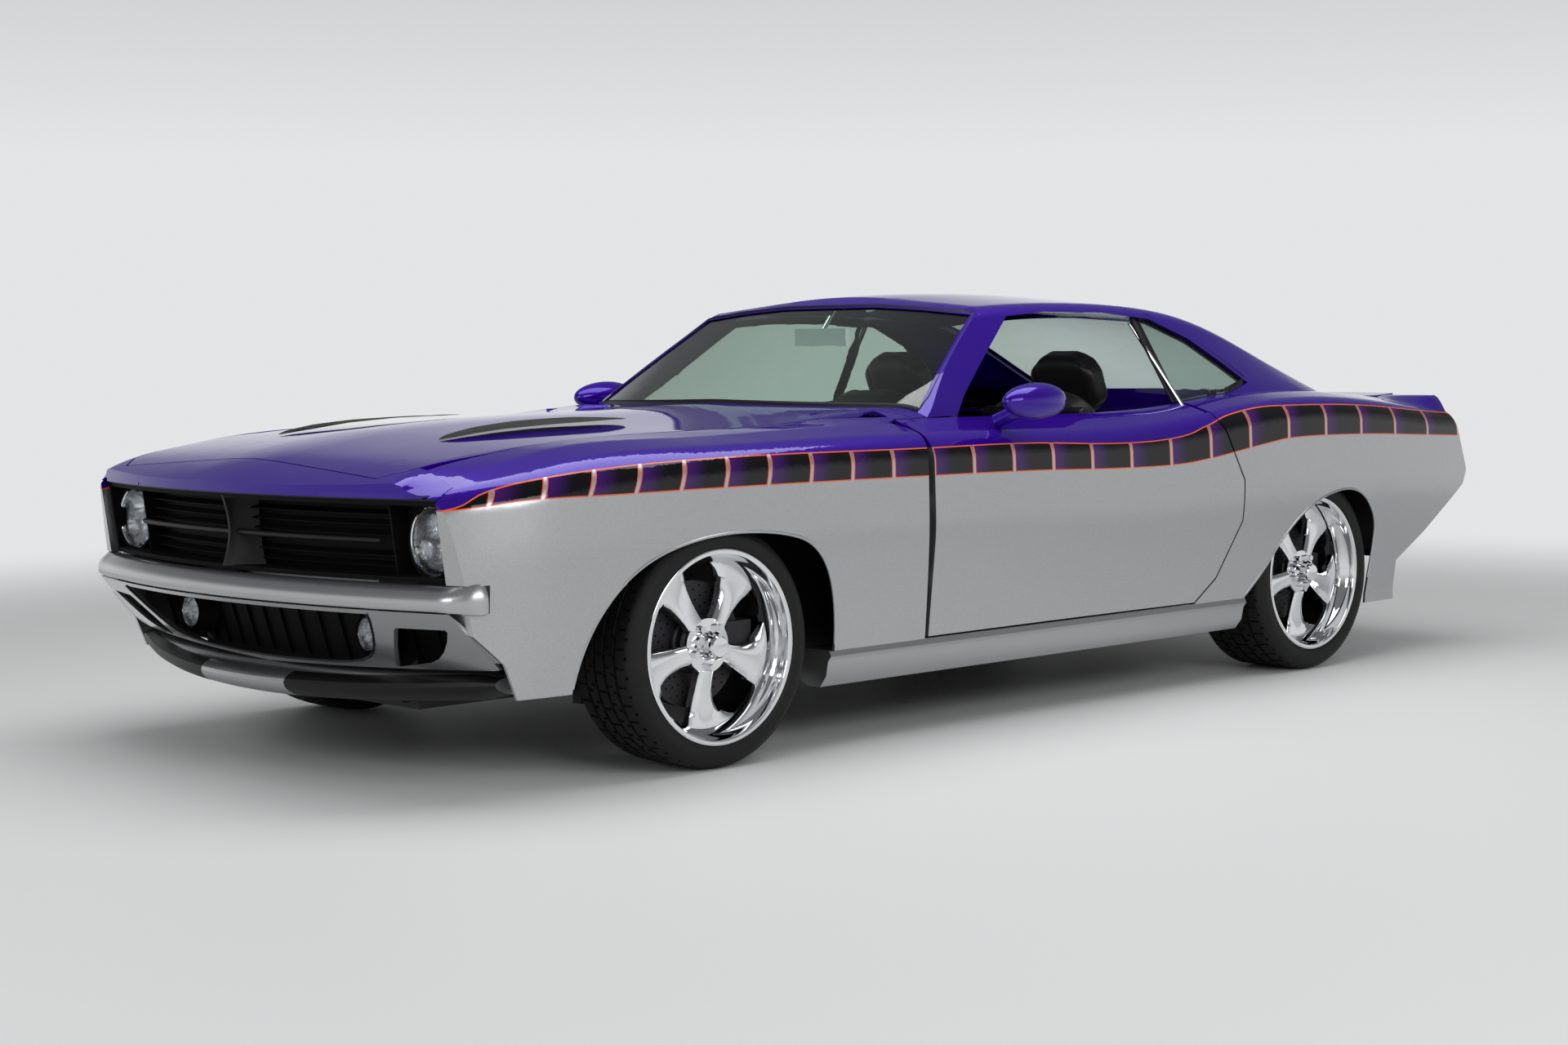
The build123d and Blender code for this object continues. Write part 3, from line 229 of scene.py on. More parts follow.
bpy.context.scene.view_settings.view_transform = "Standard"
studio_floor()
studio_world()
soft_box("overhead", (0.3, 0.4, 4.2), (0, 0, 0), 5.5, 2.6, 150)
soft_box("left_side", (2.0, 6.5, 3.2), (0.2, 0, 0.5), 5.0, 2.0, 120)
soft_box("nose", (7.0, 1.5, 3.0), (1.5, 0, 0.5), 3.0, 2.0, 70)

# %% [markdown]
# The body wears two tones of coated paint. A deep purple pearl covers everything above a
# side band, and a fine silver metallic everything below it. The band itself is a row of
# near-black boxes with an orange outline. Two curves give the band's upper and lower
# edges along the car, so the paint follows the belt over every panel without a seam.

# %% Two-tone paint
BAND = [  # x, upper z, lower z in metres, nose to tail
    (2.42, 0.712, 0.711), (2.267, 0.714, 0.712), (2.146, 0.757, 0.724), (2.04, 0.781, 0.735),
    (1.79, 0.806, 0.737), (1.45, 0.818, 0.739), (0.62, 0.817, 0.736), (0.21, 0.817, 0.733),
    (-0.35, 0.802, 0.722), (-0.53, 0.811, 0.724), (-0.69, 0.843, 0.737), (-0.86, 0.882, 0.759),
    (-1.03, 0.899, 0.781), (-1.12, 0.900, 0.790), (-1.51, 0.894, 0.791), (-1.95, 0.866, 0.776),
    (-2.42, 0.834, 0.756),
]
BAND_X = (-2.5, 2.5)
BAND_Z = (0.6, 1.0)
BOX_START_X = 2.267      # front edge of the first box
BOX_FIRST = 0.133        # length of the first box
BOX_GROWTH = 0.023       # each box is about this share longer than the one ahead of it
BOX_GAP = 0.0095         # bare stripe between two boxes
BOX_LINE = 0.0032        # width of the orange outline
BOX_LEAN = 0.62          # metres to the rear for each metre up, at the nose
BOX_LEAN_X = (0.7, 2.2)  # the lean grows between these, and behind the first a box is upright
BOX_GLOW = 0.09          # each box starts dark purple and turns black over this length
FLAKE_SCALE = 700.0      # flakes 1.4 mm wide, where real ones are a tenth of that
COAT = {"Coat_Weight": 1.0, "Coat_Roughness": 0.03, "Coat_IOR": 1.42}
PEARL_TONES = ("2A0684", "3A0C9E")
SILVER_TONES = ("A8A9AB", "B8B9BB")


def band_edge(material, x, column):
    """Height of one edge of the band at x, read from a curve."""
    along = add_node(material, "MapRange", {0: x, 1: BAND_X[0], 2: BAND_X[1]})
    curve = add_node(material, "FloatCurve", {1: along.outputs[0]})
    points = curve.mapping.curves[0].points
    rows = sorted(BAND)
    spots = [((row[0] - BAND_X[0]) / (BAND_X[1] - BAND_X[0]),
              (row[column] - BAND_Z[0]) / (BAND_Z[1] - BAND_Z[0])) for row in rows]
    points[0].location = spots[0]
    points[1].location = spots[-1]
    for spot in spots[1:-1]:
        points.new(*spot)
    curve.mapping.update()
    return add_node(material, "MapRange", {0: curve.outputs[0], 3: BAND_Z[0], 4: BAND_Z[1]}).outputs[0]


# %% [markdown]
# The band is worked out for every point of the paint from x and z. Each row of the first
# table is one step of sums: its result, the operation and what it works on. A box's number
# comes from a logarithm, because each box is longer than the last by the same share. The
# second table then picks a tone: its result, the share that picks, and the two tones.

# %% Steps of the band
BAND_STEPS = (
    ("both", "ADD", "top", "bottom"), ("middle", "MULTIPLY", "both", 0.5),
    ("off_middle", "SUBTRACT", "z", "middle"), ("shift", "MULTIPLY", "off_middle", "lean"),
    ("leant_x", "ADD", "x", "shift"), ("run", "SUBTRACT", BOX_START_X, "leant_x"),
    ("grown", "MULTIPLY_ADD", "run", BOX_GROWTH / BOX_FIRST, 1.0),
    ("safe", "MAXIMUM", "grown", 0.5), ("log", "LOGARITHM", "safe", math.e),
    ("count", "DIVIDE", "log", BOX_GROWTH), ("share", "FRACT", "count"),
    ("length", "MULTIPLY", "grown", BOX_FIRST), ("from_front", "MULTIPLY", "share", "length"),
    ("from_rear", "SUBTRACT", "length", "from_front"), ("nearer", "MINIMUM", "from_front", "from_rear"),
    ("side", "SUBTRACT", "nearer", BOX_GAP / 2), ("below_top", "SUBTRACT", "top", "z"),
    ("above_bottom", "SUBTRACT", "z", "bottom"), ("level", "MINIMUM", "below_top", "above_bottom"),
    ("edge", "MINIMUM", "side", "level"), ("in_band", "GREATER_THAN", "level", 0.0),
    ("in_box", "GREATER_THAN", "edge", 0.0), ("in_fill", "GREATER_THAN", "edge", BOX_LINE),
    ("above", "GREATER_THAN", "z", "top"), ("end_metal", "MULTIPLY_ADD", "above", -0.46, 0.88),
    ("off_box", "SUBTRACT", 1.0, "in_box"), ("metal", "MULTIPLY", "end_metal", "off_box"),
)
BAND_TONES = (
    ("purple", "flake_a", *PEARL_TONES), ("silver", "flake_b", *SILVER_TONES),
    ("fill", "glow", "08060B", "3B1260"), ("lined", "in_fill", "E4622E", "fill"),
    ("band", "in_box", "B8B7BD", "lined"), ("ends", "above", "silver", "purple"),
    ("base", "in_band", "ends", "band"),
)


def two_tone():
    """Coated paint: pearl purple over silver, with flakes, and the band of boxes between."""
    material, shader = finish("purple_pearl_over_silver_paint", "3A12A6", Metallic=0.5, Roughness=0.33,
                              Specular_IOR_Level=0.0, **COAT)
    where = add_node(material, "TexCoord").outputs["Object"]
    x, y, z = add_node(material, "SeparateXYZ", {0: where}).outputs
    lean = add_node(material, "MapRange", {0: x, 1: BOX_LEAN_X[0], 2: BOX_LEAN_X[1], 3: 0.0, 4: BOX_LEAN})
    made = {"x": x, "z": z, "top": band_edge(material, x, 1), "bottom": band_edge(material, x, 2),
            "lean": lean.outputs[0]}
    for result, operation, *inputs in BAND_STEPS:
        sockets = {number: made.get(item, item) for number, item in enumerate(inputs)}
        made[result] = add_node(material, "Math", sockets, operation=operation).outputs[0]
    glow = add_node(material, "MapRange", {0: made["from_front"], 1: 0.0, 2: BOX_GLOW, 3: 1.0, 4: 0.0},
                    interpolation_type="SMOOTHSTEP")
    flake = add_node(material, "TexVoronoi", {"Vector": where, "Scale": FLAKE_SCALE})
    tint = add_node(material, "SeparateColor", {0: flake.outputs["Color"]})
    made.update(glow=glow.outputs[0], flake_a=tint.outputs[0], flake_b=tint.outputs[1])
    for result, share, *tones in BAND_TONES:
        low, high = (made[tone] if tone in made else colour(tone) for tone in tones)
        mix = add_node(material, "Mix", {0: made[share], 6: low, 7: high}, data_type="RGBA")
        made[result] = mix.outputs[2]
    links = material.node_tree.links
    links.new(made["base"], shader.inputs["Base Color"])
    links.new(made["metal"], shader.inputs["Metallic"])
    return material


PAINT = two_tone()
# Panels above the band wear the pearl alone: deep violet, with a sharp clear shine over it.
PURPLE = grained("purple_pearl_paint", "2D0A90", 1.4, PEARL_TONES, Metallic=0.42, Roughness=0.36,
                 Specular_IOR_Level=0.0, **COAT)
# Silver flakes under clear coat give a soft grey glow that brightens where a panel turns.
SILVER = grained("silver_metallic_paint", "B0B1B3", 1.4, SILVER_TONES, Metallic=0.88, Roughness=0.30, **COAT)
print("paint steps", len(BAND_STEPS), "tones", len(BAND_TONES))

# %% [markdown]
# Everything black on the car differs in how it shines. Moulded plastic and rubber have a
# broad dull shine, a moulding deep in an opening hardly any, and sprayed wax a rough one.
# Each grain is about as wide in millimetres as the real one's, or as it needs to show.

# %% Plastics, rubber and wax
def satin_black(name):
    """Moulded black with a fine texture: dull, but its edges still catch the light."""
    return grained(name, "0B0B0C", 1.2, ("08080A", "101012"), 0.06, (0.36, 0.5), Roughness=0.42,
                   Specular_IOR_Level=0.3)


SATIN_BLACK = satin_black("satin_black_moulded_plastic")
# Hardly any light comes back out of the grille, so its black moulding is given a darker tone and almost no
# shine, which is painted shade.
SHADOW_BLACK = grained("grille_black_with_painted_shade", "050506", 2.0, ("040405", "070708"), 0.05,
                       Roughness=0.7, Specular_IOR_Level=0.15)
# Sprayed wax is lumpy, so it breaks every reflection up.
UNDERBODY = grained("black_underbody_wax", "161617", 6, ("101011", "1E1E1F"), 0.25, (0.5, 0.75),
                    Roughness=0.6)
# Tyre rubber drinks light and goes greyer where it curves away.
RUBBER = grained("moulded_tyre_rubber", "0C0C0D", 3.0, ("0A0A0B", "121213"), 0.12, (0.5, 0.7),
                 Roughness=0.62, Specular_IOR_Level=0.3)
# Cabin plastic has a leather-like grain pressed in, which keeps the dash from glaring.
CABIN = grained("grained_cabin_plastic", "151416", 1.6, ("100F11", "1B1A1C"), 0.3, (0.42, 0.6),
                Roughness=0.5)

# %% [markdown]
# Bare metals take their colour from what they mirror. What tells them apart is how sharp
# that mirror is: cast iron is coarse and dark, brushed metal blurs, polished metal is clear.

# %% Metals
# As-cast skin, rough enough to look like dark stone.
CAST = grained("cast_iron", "3A3A3C", 2.0, ("303032", "48484A"), 0.3, (0.45, 0.7), Metallic=0.8,
               Roughness=0.55)
# Enamel brushed over a casting: glossy, yet the lumps of the iron show through.
ENGINE = grained("engine_enamel_on_iron", "20202A", 4.0, ("1C1C24", "2A2A34"), 0.2, Metallic=0.2,
                 Roughness=0.4, Coat_Weight=0.4)
BRUSHED = grained("brushed_aluminium", "A9ABAE", 3.0, ("9C9EA1", "B4B6B9"), 0.05, (0.28, 0.42),
                  Metallic=1.0, Roughness=0.35)
# Polished by wheel, so it mirrors the room, with only faint cloudy patches.
POLISHED = grained("polished_aluminium", "E3E4E6", 40.0, ("DDDEE0", "E9EAEC"), 0.0, (0.04, 0.09),
                   Metallic=1.0, Roughness=0.06)
# Heat leaves exhaust steel warm grey and patchy.
EXHAUST = grained("brushed_exhaust_steel", "8C8A86", 25.0, ("7C7974", "9A9894"), 0.05, (0.3, 0.5),
                  Metallic=1.0, Roughness=0.38)
# A mirror is silvered behind, so it gives the room back almost whole.
MIRROR = grained("silvered_mirror_glass", "DDE1E4", 300, ("D9DDE0", "E1E5E8"), Metallic=1.0,
                 Roughness=0.02)

# %% [markdown]
# Glass lets light through and bends it by its index of refraction, about 1.5. The panes
# are tinted a faint green by the iron in them, which shows most where they are edge-on.

# %% Glass and lenses
GLASS = grained("green_tinted_safety_glass", "D5E4DC", 400, ("D1E2D9", "D9E7E0"), Roughness=0.0,
                IOR=1.5, Transmission_Weight=1.0)
CLEAR_LENS = grained("clear_moulded_glass", "F2F5F7", 200, ("EEF2F5", "F6F8FA"), Roughness=0.02,
                     IOR=1.5, Transmission_Weight=1.0)
# Only a little light gets through a deep red lens, so it reads as a glossy dark red.
RED_LENS = grained("red_acrylic_lens", "8C0A0C", 12, ("7C0809", "9A0D10"), Roughness=0.08,
                   Transmission_Weight=0.25, Coat_Weight=0.5)

# %% [markdown]
# Black leather is soft to the eye because its pebbles, 2 mm wide, scatter the shine, and
# because wear makes it a little greyer in wide patches.

# %% Leather
PEBBLE_MM = 2.2
WEAR_MM = 90


def black_leather():
    material, shader = finish("pebbled_black_leather", "0F0E10", Roughness=0.42, Sheen_Weight=0.15)
    where = place_mm(material)
    cells = add_node(material, "TexVoronoi", {"Vector": where, "Scale": 1 / PEBBLE_MM}, feature="F1")
    wear = add_node(material, "TexNoise", {"Vector": where, "Scale": 1 / WEAR_MM, "Detail": 3.0})
    tone = add_node(material, "Mix", {0: wear.outputs["Fac"], 6: colour("0B0A0C"), 7: colour("171518")},
                    data_type="RGBA")
    raised = add_node(material, "Bump", {"Strength": 0.35, "Distance": 0.0006,
                                         "Height": cells.outputs["Distance"]})
    links = material.node_tree.links
    links.new(tone.outputs[2], shader.inputs["Base Color"])
    links.new(raised.outputs[0], shader.inputs["Normal"])
    return material


LEATHER = black_leather()

# %% [markdown]
# Each solid that stays in view takes its finish by its slot in the record. The slots are
# already sorted by what the part is made of, so one table dresses them all.

# %% Finishes of the solids
SLOT_FINISH = {
    "paint": PAINT, "lower_paint": SILVER, "black_trim": SATIN_BLACK, "lens": CLEAR_LENS,
    "red_lens": RED_LENS, "window_glass": GLASS, "underbody": UNDERBODY, "engine_paint": ENGINE,
    "driveline_metal": CAST, "alloy": BRUSHED, "exhaust_steel": EXHAUST, "leather": LEATHER,
    "cabin_trim": CABIN, "mirror_glass": MIRROR, "rubber": RUBBER, "polished": POLISHED,
    "disc_iron": CAST,
}
node_slot = {row["node"]: row["material_slot"] for row in frame["record"]["subparts"]}
for name, solid in nodes.items():
    solid.data.materials.clear()
    solid.data.materials.append(SLOT_FINISH[node_slot[name]])

# %% [markdown]
# A pressed panel is smooth across its face and sharp only at its folded edges. The solid's
# mesh is loose flat triangles, so each painted panel is copied, its doubles are merged and
# it is shaded smooth up to a fold angle. The copy then stands for the solid.

# %% Smooth copies of the pressed panels
FOLD_ANGLE = math.radians(28)
MERGE = 0.00002          # doubles closer than this become one vertex


def body_that_holds(node):
    return next(body for body, members in frame["record"]["behaviour"]["bodies"].items() if node in members)


LINED = ("door_left", "door_right", "quarter_left", "quarter_right", "roof", "fender_left", "fender_right")
FACES_OUT = 0.12         # a face whose normal points out less than this lies in an opening
SILL_HALF = 0.765        # the trim inside a door starts this far from the middle
MIRROR_LINE = ((0.165, 0.970, 0.940), (0.272, 0.970, 0.940))
MIRROR_R = 0.0592        # the plain mirror head's radius and a hair more
RAIL_KICK_X = 1.95
RAIL_KICK = 0.060        # the frame rails rise behind the chin lip


def is_inner(face, node):
    """True for a face that looks into the car or lies in a window opening."""
    middle, normal = face.calc_center_median(), face.normal
    outward = normal.y * math.copysign(1, middle.y)
    if node == "roof":
        return normal.z < 0.3 and outward < FACES_OUT
    if node.startswith("quarter") and middle.z > 0.80 and middle.x > -1.75 and normal.z < 0.5:
        return outward < FACES_OUT
    on_sill = abs(middle.y) < SILL_HALF and 0.6 < middle.z < 0.93
    return outward < -0.3 or (node.startswith("door") and on_sill and outward < 0.5)


def on_mirror(face):
    """True for a face of the plain mirror head on a door."""
    middle = face.calc_center_median()
    start, stop = (Vector(point) for point in MIRROR_LINE)
    middle.y = abs(middle.y)
    nearest = min(max(middle.x, start.x), stop.x)
    return (middle - Vector((nearest, start.y, start.z))).length < MIRROR_R


def smooth_copy(node, material):
    """Makes a merged and smooth-shaded copy of a solid that stands for it."""
    mesh = nodes[node].data.copy()
    if mesh.has_custom_normals:
        mesh.attributes.remove(mesh.attributes["custom_normal"])
    bm = bmesh.new()
    bm.from_mesh(mesh)
    bmesh.ops.remove_doubles(bm, verts=bm.verts, dist=MERGE)
    if node in ("door_left", "door_right"):
        heads = [face for face in bm.faces if on_mirror(face)]
        bmesh.ops.delete(bm, geom=heads, context="FACES")
    if node == "rails":
        for vert in bm.verts:
            if vert.co.x > RAIL_KICK_X:
                vert.co.z += RAIL_KICK
    for face in bm.faces:
        face.smooth = True
        face.material_index = 1 if node in LINED and is_inner(face, node) else 0
    bm.to_mesh(mesh)
    bm.free()
    mesh.set_sharp_from_angle(angle=FOLD_ANGLE)
    mesh.materials.clear()
    mesh.materials.append(material)
    if node in LINED:
        mesh.materials.append(UNDERBODY if node.startswith("fender") else CABIN)
    piece = linked(node + "_panel", mesh)
    weight = piece.modifiers.new("weighted_normals", "WEIGHTED_NORMAL")
    weight.keep_sharp = True
    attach(piece, body_that_holds(node))
    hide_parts(node)


PRESSED = {
    PAINT: ("fender_left", "fender_right", "door_left", "door_right", "quarter_left", "quarter_right"),
    PURPLE: ("header", "hood", "cowl", "trunk_lid", "deck_panel", "roof"),
    UNDERBODY: ("rails",),
    SILVER: ("rear_bumper", "rear_valance", "rockers"),
    GLASS: ("windshield", "rear_window", "quarter_windows", "door_glass"),
}
for material, members in PRESSED.items():
    for node in members:
        smooth_copy(node, material)
print("smooth panels", sum(len(members) for members in PRESSED.values()))

# %% [markdown]
# Round parts are spun: a short outline of radius and depth turns about the wheel's axle.
# One helper does that for tyres, rims, lamps and caps. Its outline runs from the axle
# outwards, its last step is welded to its first, and the normals are made to point out.

# %% Turning and placing helpers
def new_piece(name, bm, materials, fold=FOLD_ANGLE):
    """Turns a bmesh into a linked, smooth-shaded object whose place is in its mesh."""
    mesh = bpy.data.meshes.new(name)
    bmesh.ops.remove_doubles(bm, verts=bm.verts, dist=0.00001)
    bmesh.ops.recalc_face_normals(bm, faces=bm.faces)
    for face in bm.faces:
        face.smooth = True
    bm.to_mesh(mesh)
    bm.free()
    mesh.set_sharp_from_angle(angle=fold)
    for material in materials:
        mesh.materials.append(material)
    return linked(name, mesh)


def pour(part, bm, matrix=None):
    """Adds a finished bmesh to another one, moved by a matrix, and frees it."""
    if matrix is not None:
        bmesh.ops.transform(part, matrix=matrix, verts=part.verts)
    mesh = bpy.data.meshes.new("part")
    part.to_mesh(mesh)
    part.free()
    bm.from_mesh(mesh)
    bpy.data.meshes.remove(mesh)


def turned(bm, outline, steps, closed=False):
    """Spins points of (radius, depth) about the y axis into bm."""
    verts = [bm.verts.new((radius, depth, 0)) for radius, depth in outline]
    pairs = list(zip(verts, verts[1:]))
    if closed:
        pairs.append((verts[-1], verts[0]))
    edges = [bm.edges.new(pair) for pair in pairs]
    bmesh.ops.spin(bm, geom=verts + edges, cent=(0, 0, 0), axis=(0, 1, 0), angle=2 * math.pi,
                   steps=steps, use_merge=True)


def placed_copy(piece, name, matrix):
    """A copy of a piece whose mesh is moved, with its normals kept outward if it is mirrored."""
    mesh = piece.data.copy()
    mesh.transform(matrix)
    if matrix.determinant() < 0:
        mesh.flip_normals()
    return linked(name, mesh)


# %% [markdown]
# The tyre is low and wide. Its outline runs over the bead, up the bulging sidewall and
# across a tread with four drainage grooves. Slanted cross grooves are faces of the tread
# ribs that are inset and pushed in, shifted from rib to rib so that they form arrows.

# %% Tyres
MM = 0.001
TREAD_GROOVE = 7.0       # depth in mm of a drainage groove
TREAD_PITCHES = 240
CUT_EVERY = 6            # pitches from one cross groove to the next
CUT_SLANT = 7.5          # mm across the tread for which a cross groove moves on one pitch


def tyre_outline(radius, half, bead):
    """Radius and depth in mm from the outer bead over the tread to the inner bead."""
    side = [(bead, half - 11), (bead + 6, half - 5), (bead + 12, half - 2.5), (bead + 14, half - 3.2),
            (bead + 24, half - 0.6), (bead + 38, half - 0.4), (radius - 24, half - 3.5),
            (radius - 12, half - 11), (radius - 6.5, half - 18), (radius - 4.5, half - 22)]
    tread_half = half - 26
    tread = [(radius - 3, tread_half)]
    for centre in (0.62, 0.2, -0.2, -0.62):
        y = centre * tread_half
        crown = radius - 2.4 * centre * centre
        foot = crown - TREAD_GROOVE
        tread += [(crown, y + 5.5), (foot, y + 4), (foot, y - 4), (crown, y - 5.5)]
        if centre > -0.6:
            tread.append((crown + 0.1, y - 0.21 * tread_half))
    tread.append((radius - 3, -tread_half))
    return side + tread + [(r, -y) for r, y in reversed(side)]


def make_tyre(name, radius, half, bead):
    bm = bmesh.new()
    outline = [(r * MM, y * MM) for r, y in tyre_outline(radius, half, bead)]
    turned(bm, outline, TREAD_PITCHES)
    step = 2 * math.pi / TREAD_PITCHES
    cuts = []
    for face in bm.faces:
        middle = face.calc_center_median()
        reach = math.hypot(middle.x, middle.z)
        y = abs(middle.y)
        if y > (half - 19) * MM or reach < (radius - 5.6) * MM:
            continue
        pitch = int((math.atan2(middle.z, middle.x) % (2 * math.pi)) / step)
        slant = int(y / (CUT_SLANT * MM))
        if (pitch + slant) % CUT_EVERY == 0:
            cuts.append(face)
    bmesh.ops.inset_individual(bm, faces=cuts, thickness=0.0009, depth=-0.0045)
    return new_piece(name, bm, [RUBBER], fold=math.radians(35))


# %% [markdown]
# The rim is polished aluminium. Its barrel and rolled lip are turned, and the five spokes
# are grids that are narrow at the hub and widen towards the barrel. Each grid is extruded
# to give it a wall, softened with a bevel and set deep behind the lip.

# %% Rims
SPOKES = 5
SPOKE_FROM, SPOKE_TO = 64, 222   # reach of a spoke in mm, from the hub to the barrel
SPOKE_WALL = 0.024
# radius and width on either side of a spoke's middle line, in mm
SPOKE_STRAIGHT = [(64, 27), (120, 36), (222, 62)]
SPOKE_CURVED = [(64, 25), (90, 23), (120, 25), (150, 33), (175, 48), (200, 76), (214, 100), (222, 112)]
LUG_CIRCLE_R = 57.15
CAP_FACETS = 10


def between(table, value):
    """Straight-line reading of a table of pairs."""
    for (a, low), (b, high) in zip(table, table[1:]):
        if value <= b:
            return low + (high - low) * (value - a) / (b - a)
    return table[-1][1]


def spoke_face_depth(radius):
    """Depth of a spoke's face behind the lip, in mm: proud at the hub, deepest at mid reach."""
    share = (radius - SPOKE_FROM) / (SPOKE_TO - SPOKE_FROM)
    return -58 - 10 * share - 8 * math.sin(math.pi * share)


def add_spoke(bm, angle):
    part = bmesh.new()
    bmesh.ops.create_grid(part, x_segments=18, y_segments=8, size=1.0)
    for vert in part.verts:
        radius = (SPOKE_TO + SPOKE_FROM) / 2 + (SPOKE_TO - SPOKE_FROM) / 2 * vert.co.x
        across = vert.co.y
        half_width = between(SPOKE_STRAIGHT if across > 0 else SPOKE_CURVED, radius)
        roll = 5.0 * max(0.0, abs(across) - 0.62) ** 2 / 0.38 ** 2
        x, y = across * half_width, spoke_face_depth(radius) + 3.0 * (1 - across * across) - roll
        reach = math.sqrt(max(radius * radius - x * x, 0)) if radius > 180 else radius
        vert.co = Vector((reach, y, x)) * MM
    faces = list(part.faces)
    bmesh.ops.recalc_face_normals(part, faces=faces)
    wall = bmesh.ops.extrude_face_region(part, geom=faces)
    back = [item for item in wall["geom"] if isinstance(item, bmesh.types.BMVert)]
    bmesh.ops.translate(part, verts=back, vec=(0, -SPOKE_WALL, 0))
    sharp = [edge for edge in part.edges if len(edge.link_faces) == 2 and edge.calc_face_angle(0) > 0.9]
    bmesh.ops.bevel(part, geom=sharp, offset=0.003, segments=3, profile=0.5, affect="EDGES", material=-1)
    bmesh.ops.rotate(part, verts=part.verts, cent=(0, 0, 0), matrix=Matrix.Rotation(angle, 3, "Y"))
    pour(part, bm)


def add_cone(bm, place, segments, wide, narrow, depth):
    """A cone or drum along y, narrow end outwards, its middle at place in mm, its sizes in metres."""
    part = bmesh.new()
    bmesh.ops.create_cone(part, cap_ends=True, segments=segments, radius1=wide, radius2=narrow, depth=depth)
    pour(part, bm, Matrix.Translation(Vector(place) * MM) @ Matrix.Rotation(-math.pi / 2, 4, "X"))


def make_rim(name, lip, bead, half):
    """Rim with its lip face at y = 0 and its axle along y."""
    inner = -2 * half
    bm = bmesh.new()
    barrel = [(bead - 2, -11), (lip - 1.5, -9), (lip, -5), (lip - 2, -3.6), (lip - 7, -3.6), (lip - 13, -6),
              (lip - 15, -10), (lip - 17, -22), (lip - 25, -40), (bead - 26, -60), (bead - 27, -90),
              (bead - 27, inner + 60), (bead - 12, inner + 30), (bead - 8, inner + 6), (lip - 1, inner + 5),
              (lip - 1, inner + 9), (bead - 3, inner + 12), (bead - 4, inner + 28), (bead - 18, inner + 48),
              (bead - 18, -70), (bead - 16, -50), (bead - 4, -28)]
    turned(bm, [(r * MM, y * MM) for r, y in barrel], 96, closed=True)
    hub = [(0, -88), (73, -88), (74, -84), (74, -62), (72, -59), (40, -57), (38, -55), (36, -40), (33, -36),
           (33, -30), (30, -26), (30, -16), (26, -11), (14, -9), (0, -8.6)]
    turned(bm, [(r * MM, y * MM) for r, y in hub], 60)
    for index in range(SPOKES):
        add_spoke(bm, math.radians(90 + index * 360 / SPOKES))
    for index in range(SPOKES):
        angle = math.radians(54 + index * 360 / SPOKES)
        nut = (math.cos(angle) * LUG_CIRCLE_R, -50, math.sin(angle) * LUG_CIRCLE_R)
        add_cone(bm, nut, 6, 0.0105, 0.0095, 0.022)
    for index in range(CAP_FACETS):
        # the cap is faceted: flat scallops stand around its shoulder
        angle = index * 2 * math.pi / CAP_FACETS
        add_cone(bm, (math.cos(angle) * 33, -33, math.sin(angle) * 33), 4, 0.0075, 0.0035, 0.016)
    return new_piece(name, bm, [POLISHED], fold=math.radians(38))


for end in ("front", "rear"):
    low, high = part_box(f"tyre_{end}_left")
    x, z, tyre_out = (low.x + high.x) / 2, (low.z + high.z) / 2, high.y
    radius = z / MM          # the tyre stands on the ground, so its middle is as high as its radius
    half = (high.y - low.y) / 2 / MM
    rim_low, rim_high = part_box(f"rim_{end}_left")
    lip = (rim_high.z - rim_low.z) / 2 / MM
    tyre = make_tyre(f"tyre_{end}", radius, half, lip - 3)
    rim = make_rim(f"rim_{end}", lip, lip - 12, half)
    for sign, hand in HANDS:
        flip = Matrix.Diagonal((1, sign, 1, 1))
        for piece, kind, slot, depth in ((tyre, "tyre", "rubber", tyre_out - half * MM),
                                         (rim, "rim", "polished", tyre_out)):
            place = Matrix.Translation((x, sign * depth, z))
            twin = placed_copy(piece, f"{kind}_{end}_{hand}_dressed", place @ flip)
            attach(twin, f"wheel_{end}_{hand}")
            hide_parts(f"{kind}_{end}_{hand}")
    for piece in (tyre, rim):
        bpy.data.objects.remove(piece)
print("wheels done")

# %% [markdown]
# The nose is bowed, so everything across it follows one arc in plan. A grid or a bar is
# made straight and then wrapped: each vertex moves back by the arc's drop at its y.

# %% Bowed nose helper
grille_low, grille_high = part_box("grille")
NOSE_DROP_AT = 0.9       # this far out, in metres,
NOSE_DROP = 0.152        # the nose has fallen back by this much
NOSE_LEAN = 0.13625      # the nose leans back towards its foot
NOSE_BOW_R = (NOSE_DROP_AT ** 2 + NOSE_DROP ** 2) / (2 * NOSE_DROP)


def nose_drop(y):
    """How far the bowed nose falls back at y."""
    return NOSE_BOW_R - math.sqrt(NOSE_BOW_R ** 2 - y * y)


def edges_along(bm, axis, length):
    """Edges that reach further than length along an axis."""
    return [edge for edge in bm.edges if abs(edge.verts[0].co[axis] - edge.verts[1].co[axis]) > length]


def add_box(bm, low, high, segments=1, slope=0.0):
    """A block between two corners, cut across y so that it can bend, its rear lifted by slope."""
    part = bmesh.new()
    bmesh.ops.create_cube(part, size=1.0)
    low, high = Vector(low), Vector(high)
    if segments > 1:
        bmesh.ops.subdivide_edges(part, edges=edges_along(part, 1, 0.5), cuts=segments - 1)
    bmesh.ops.scale(part, verts=part.verts, vec=high - low)
    for vert in part.verts:
        vert.co.z -= slope * vert.co.x
    pour(part, bm, Matrix.Translation((low + high) / 2))


def bow(verts):
    """Wraps straight work to the bowed and leaning nose."""
    for vert in verts:
        vert.co.x -= nose_drop(vert.co.y) + NOSE_LEAN * (grille_high.z - vert.co.z)
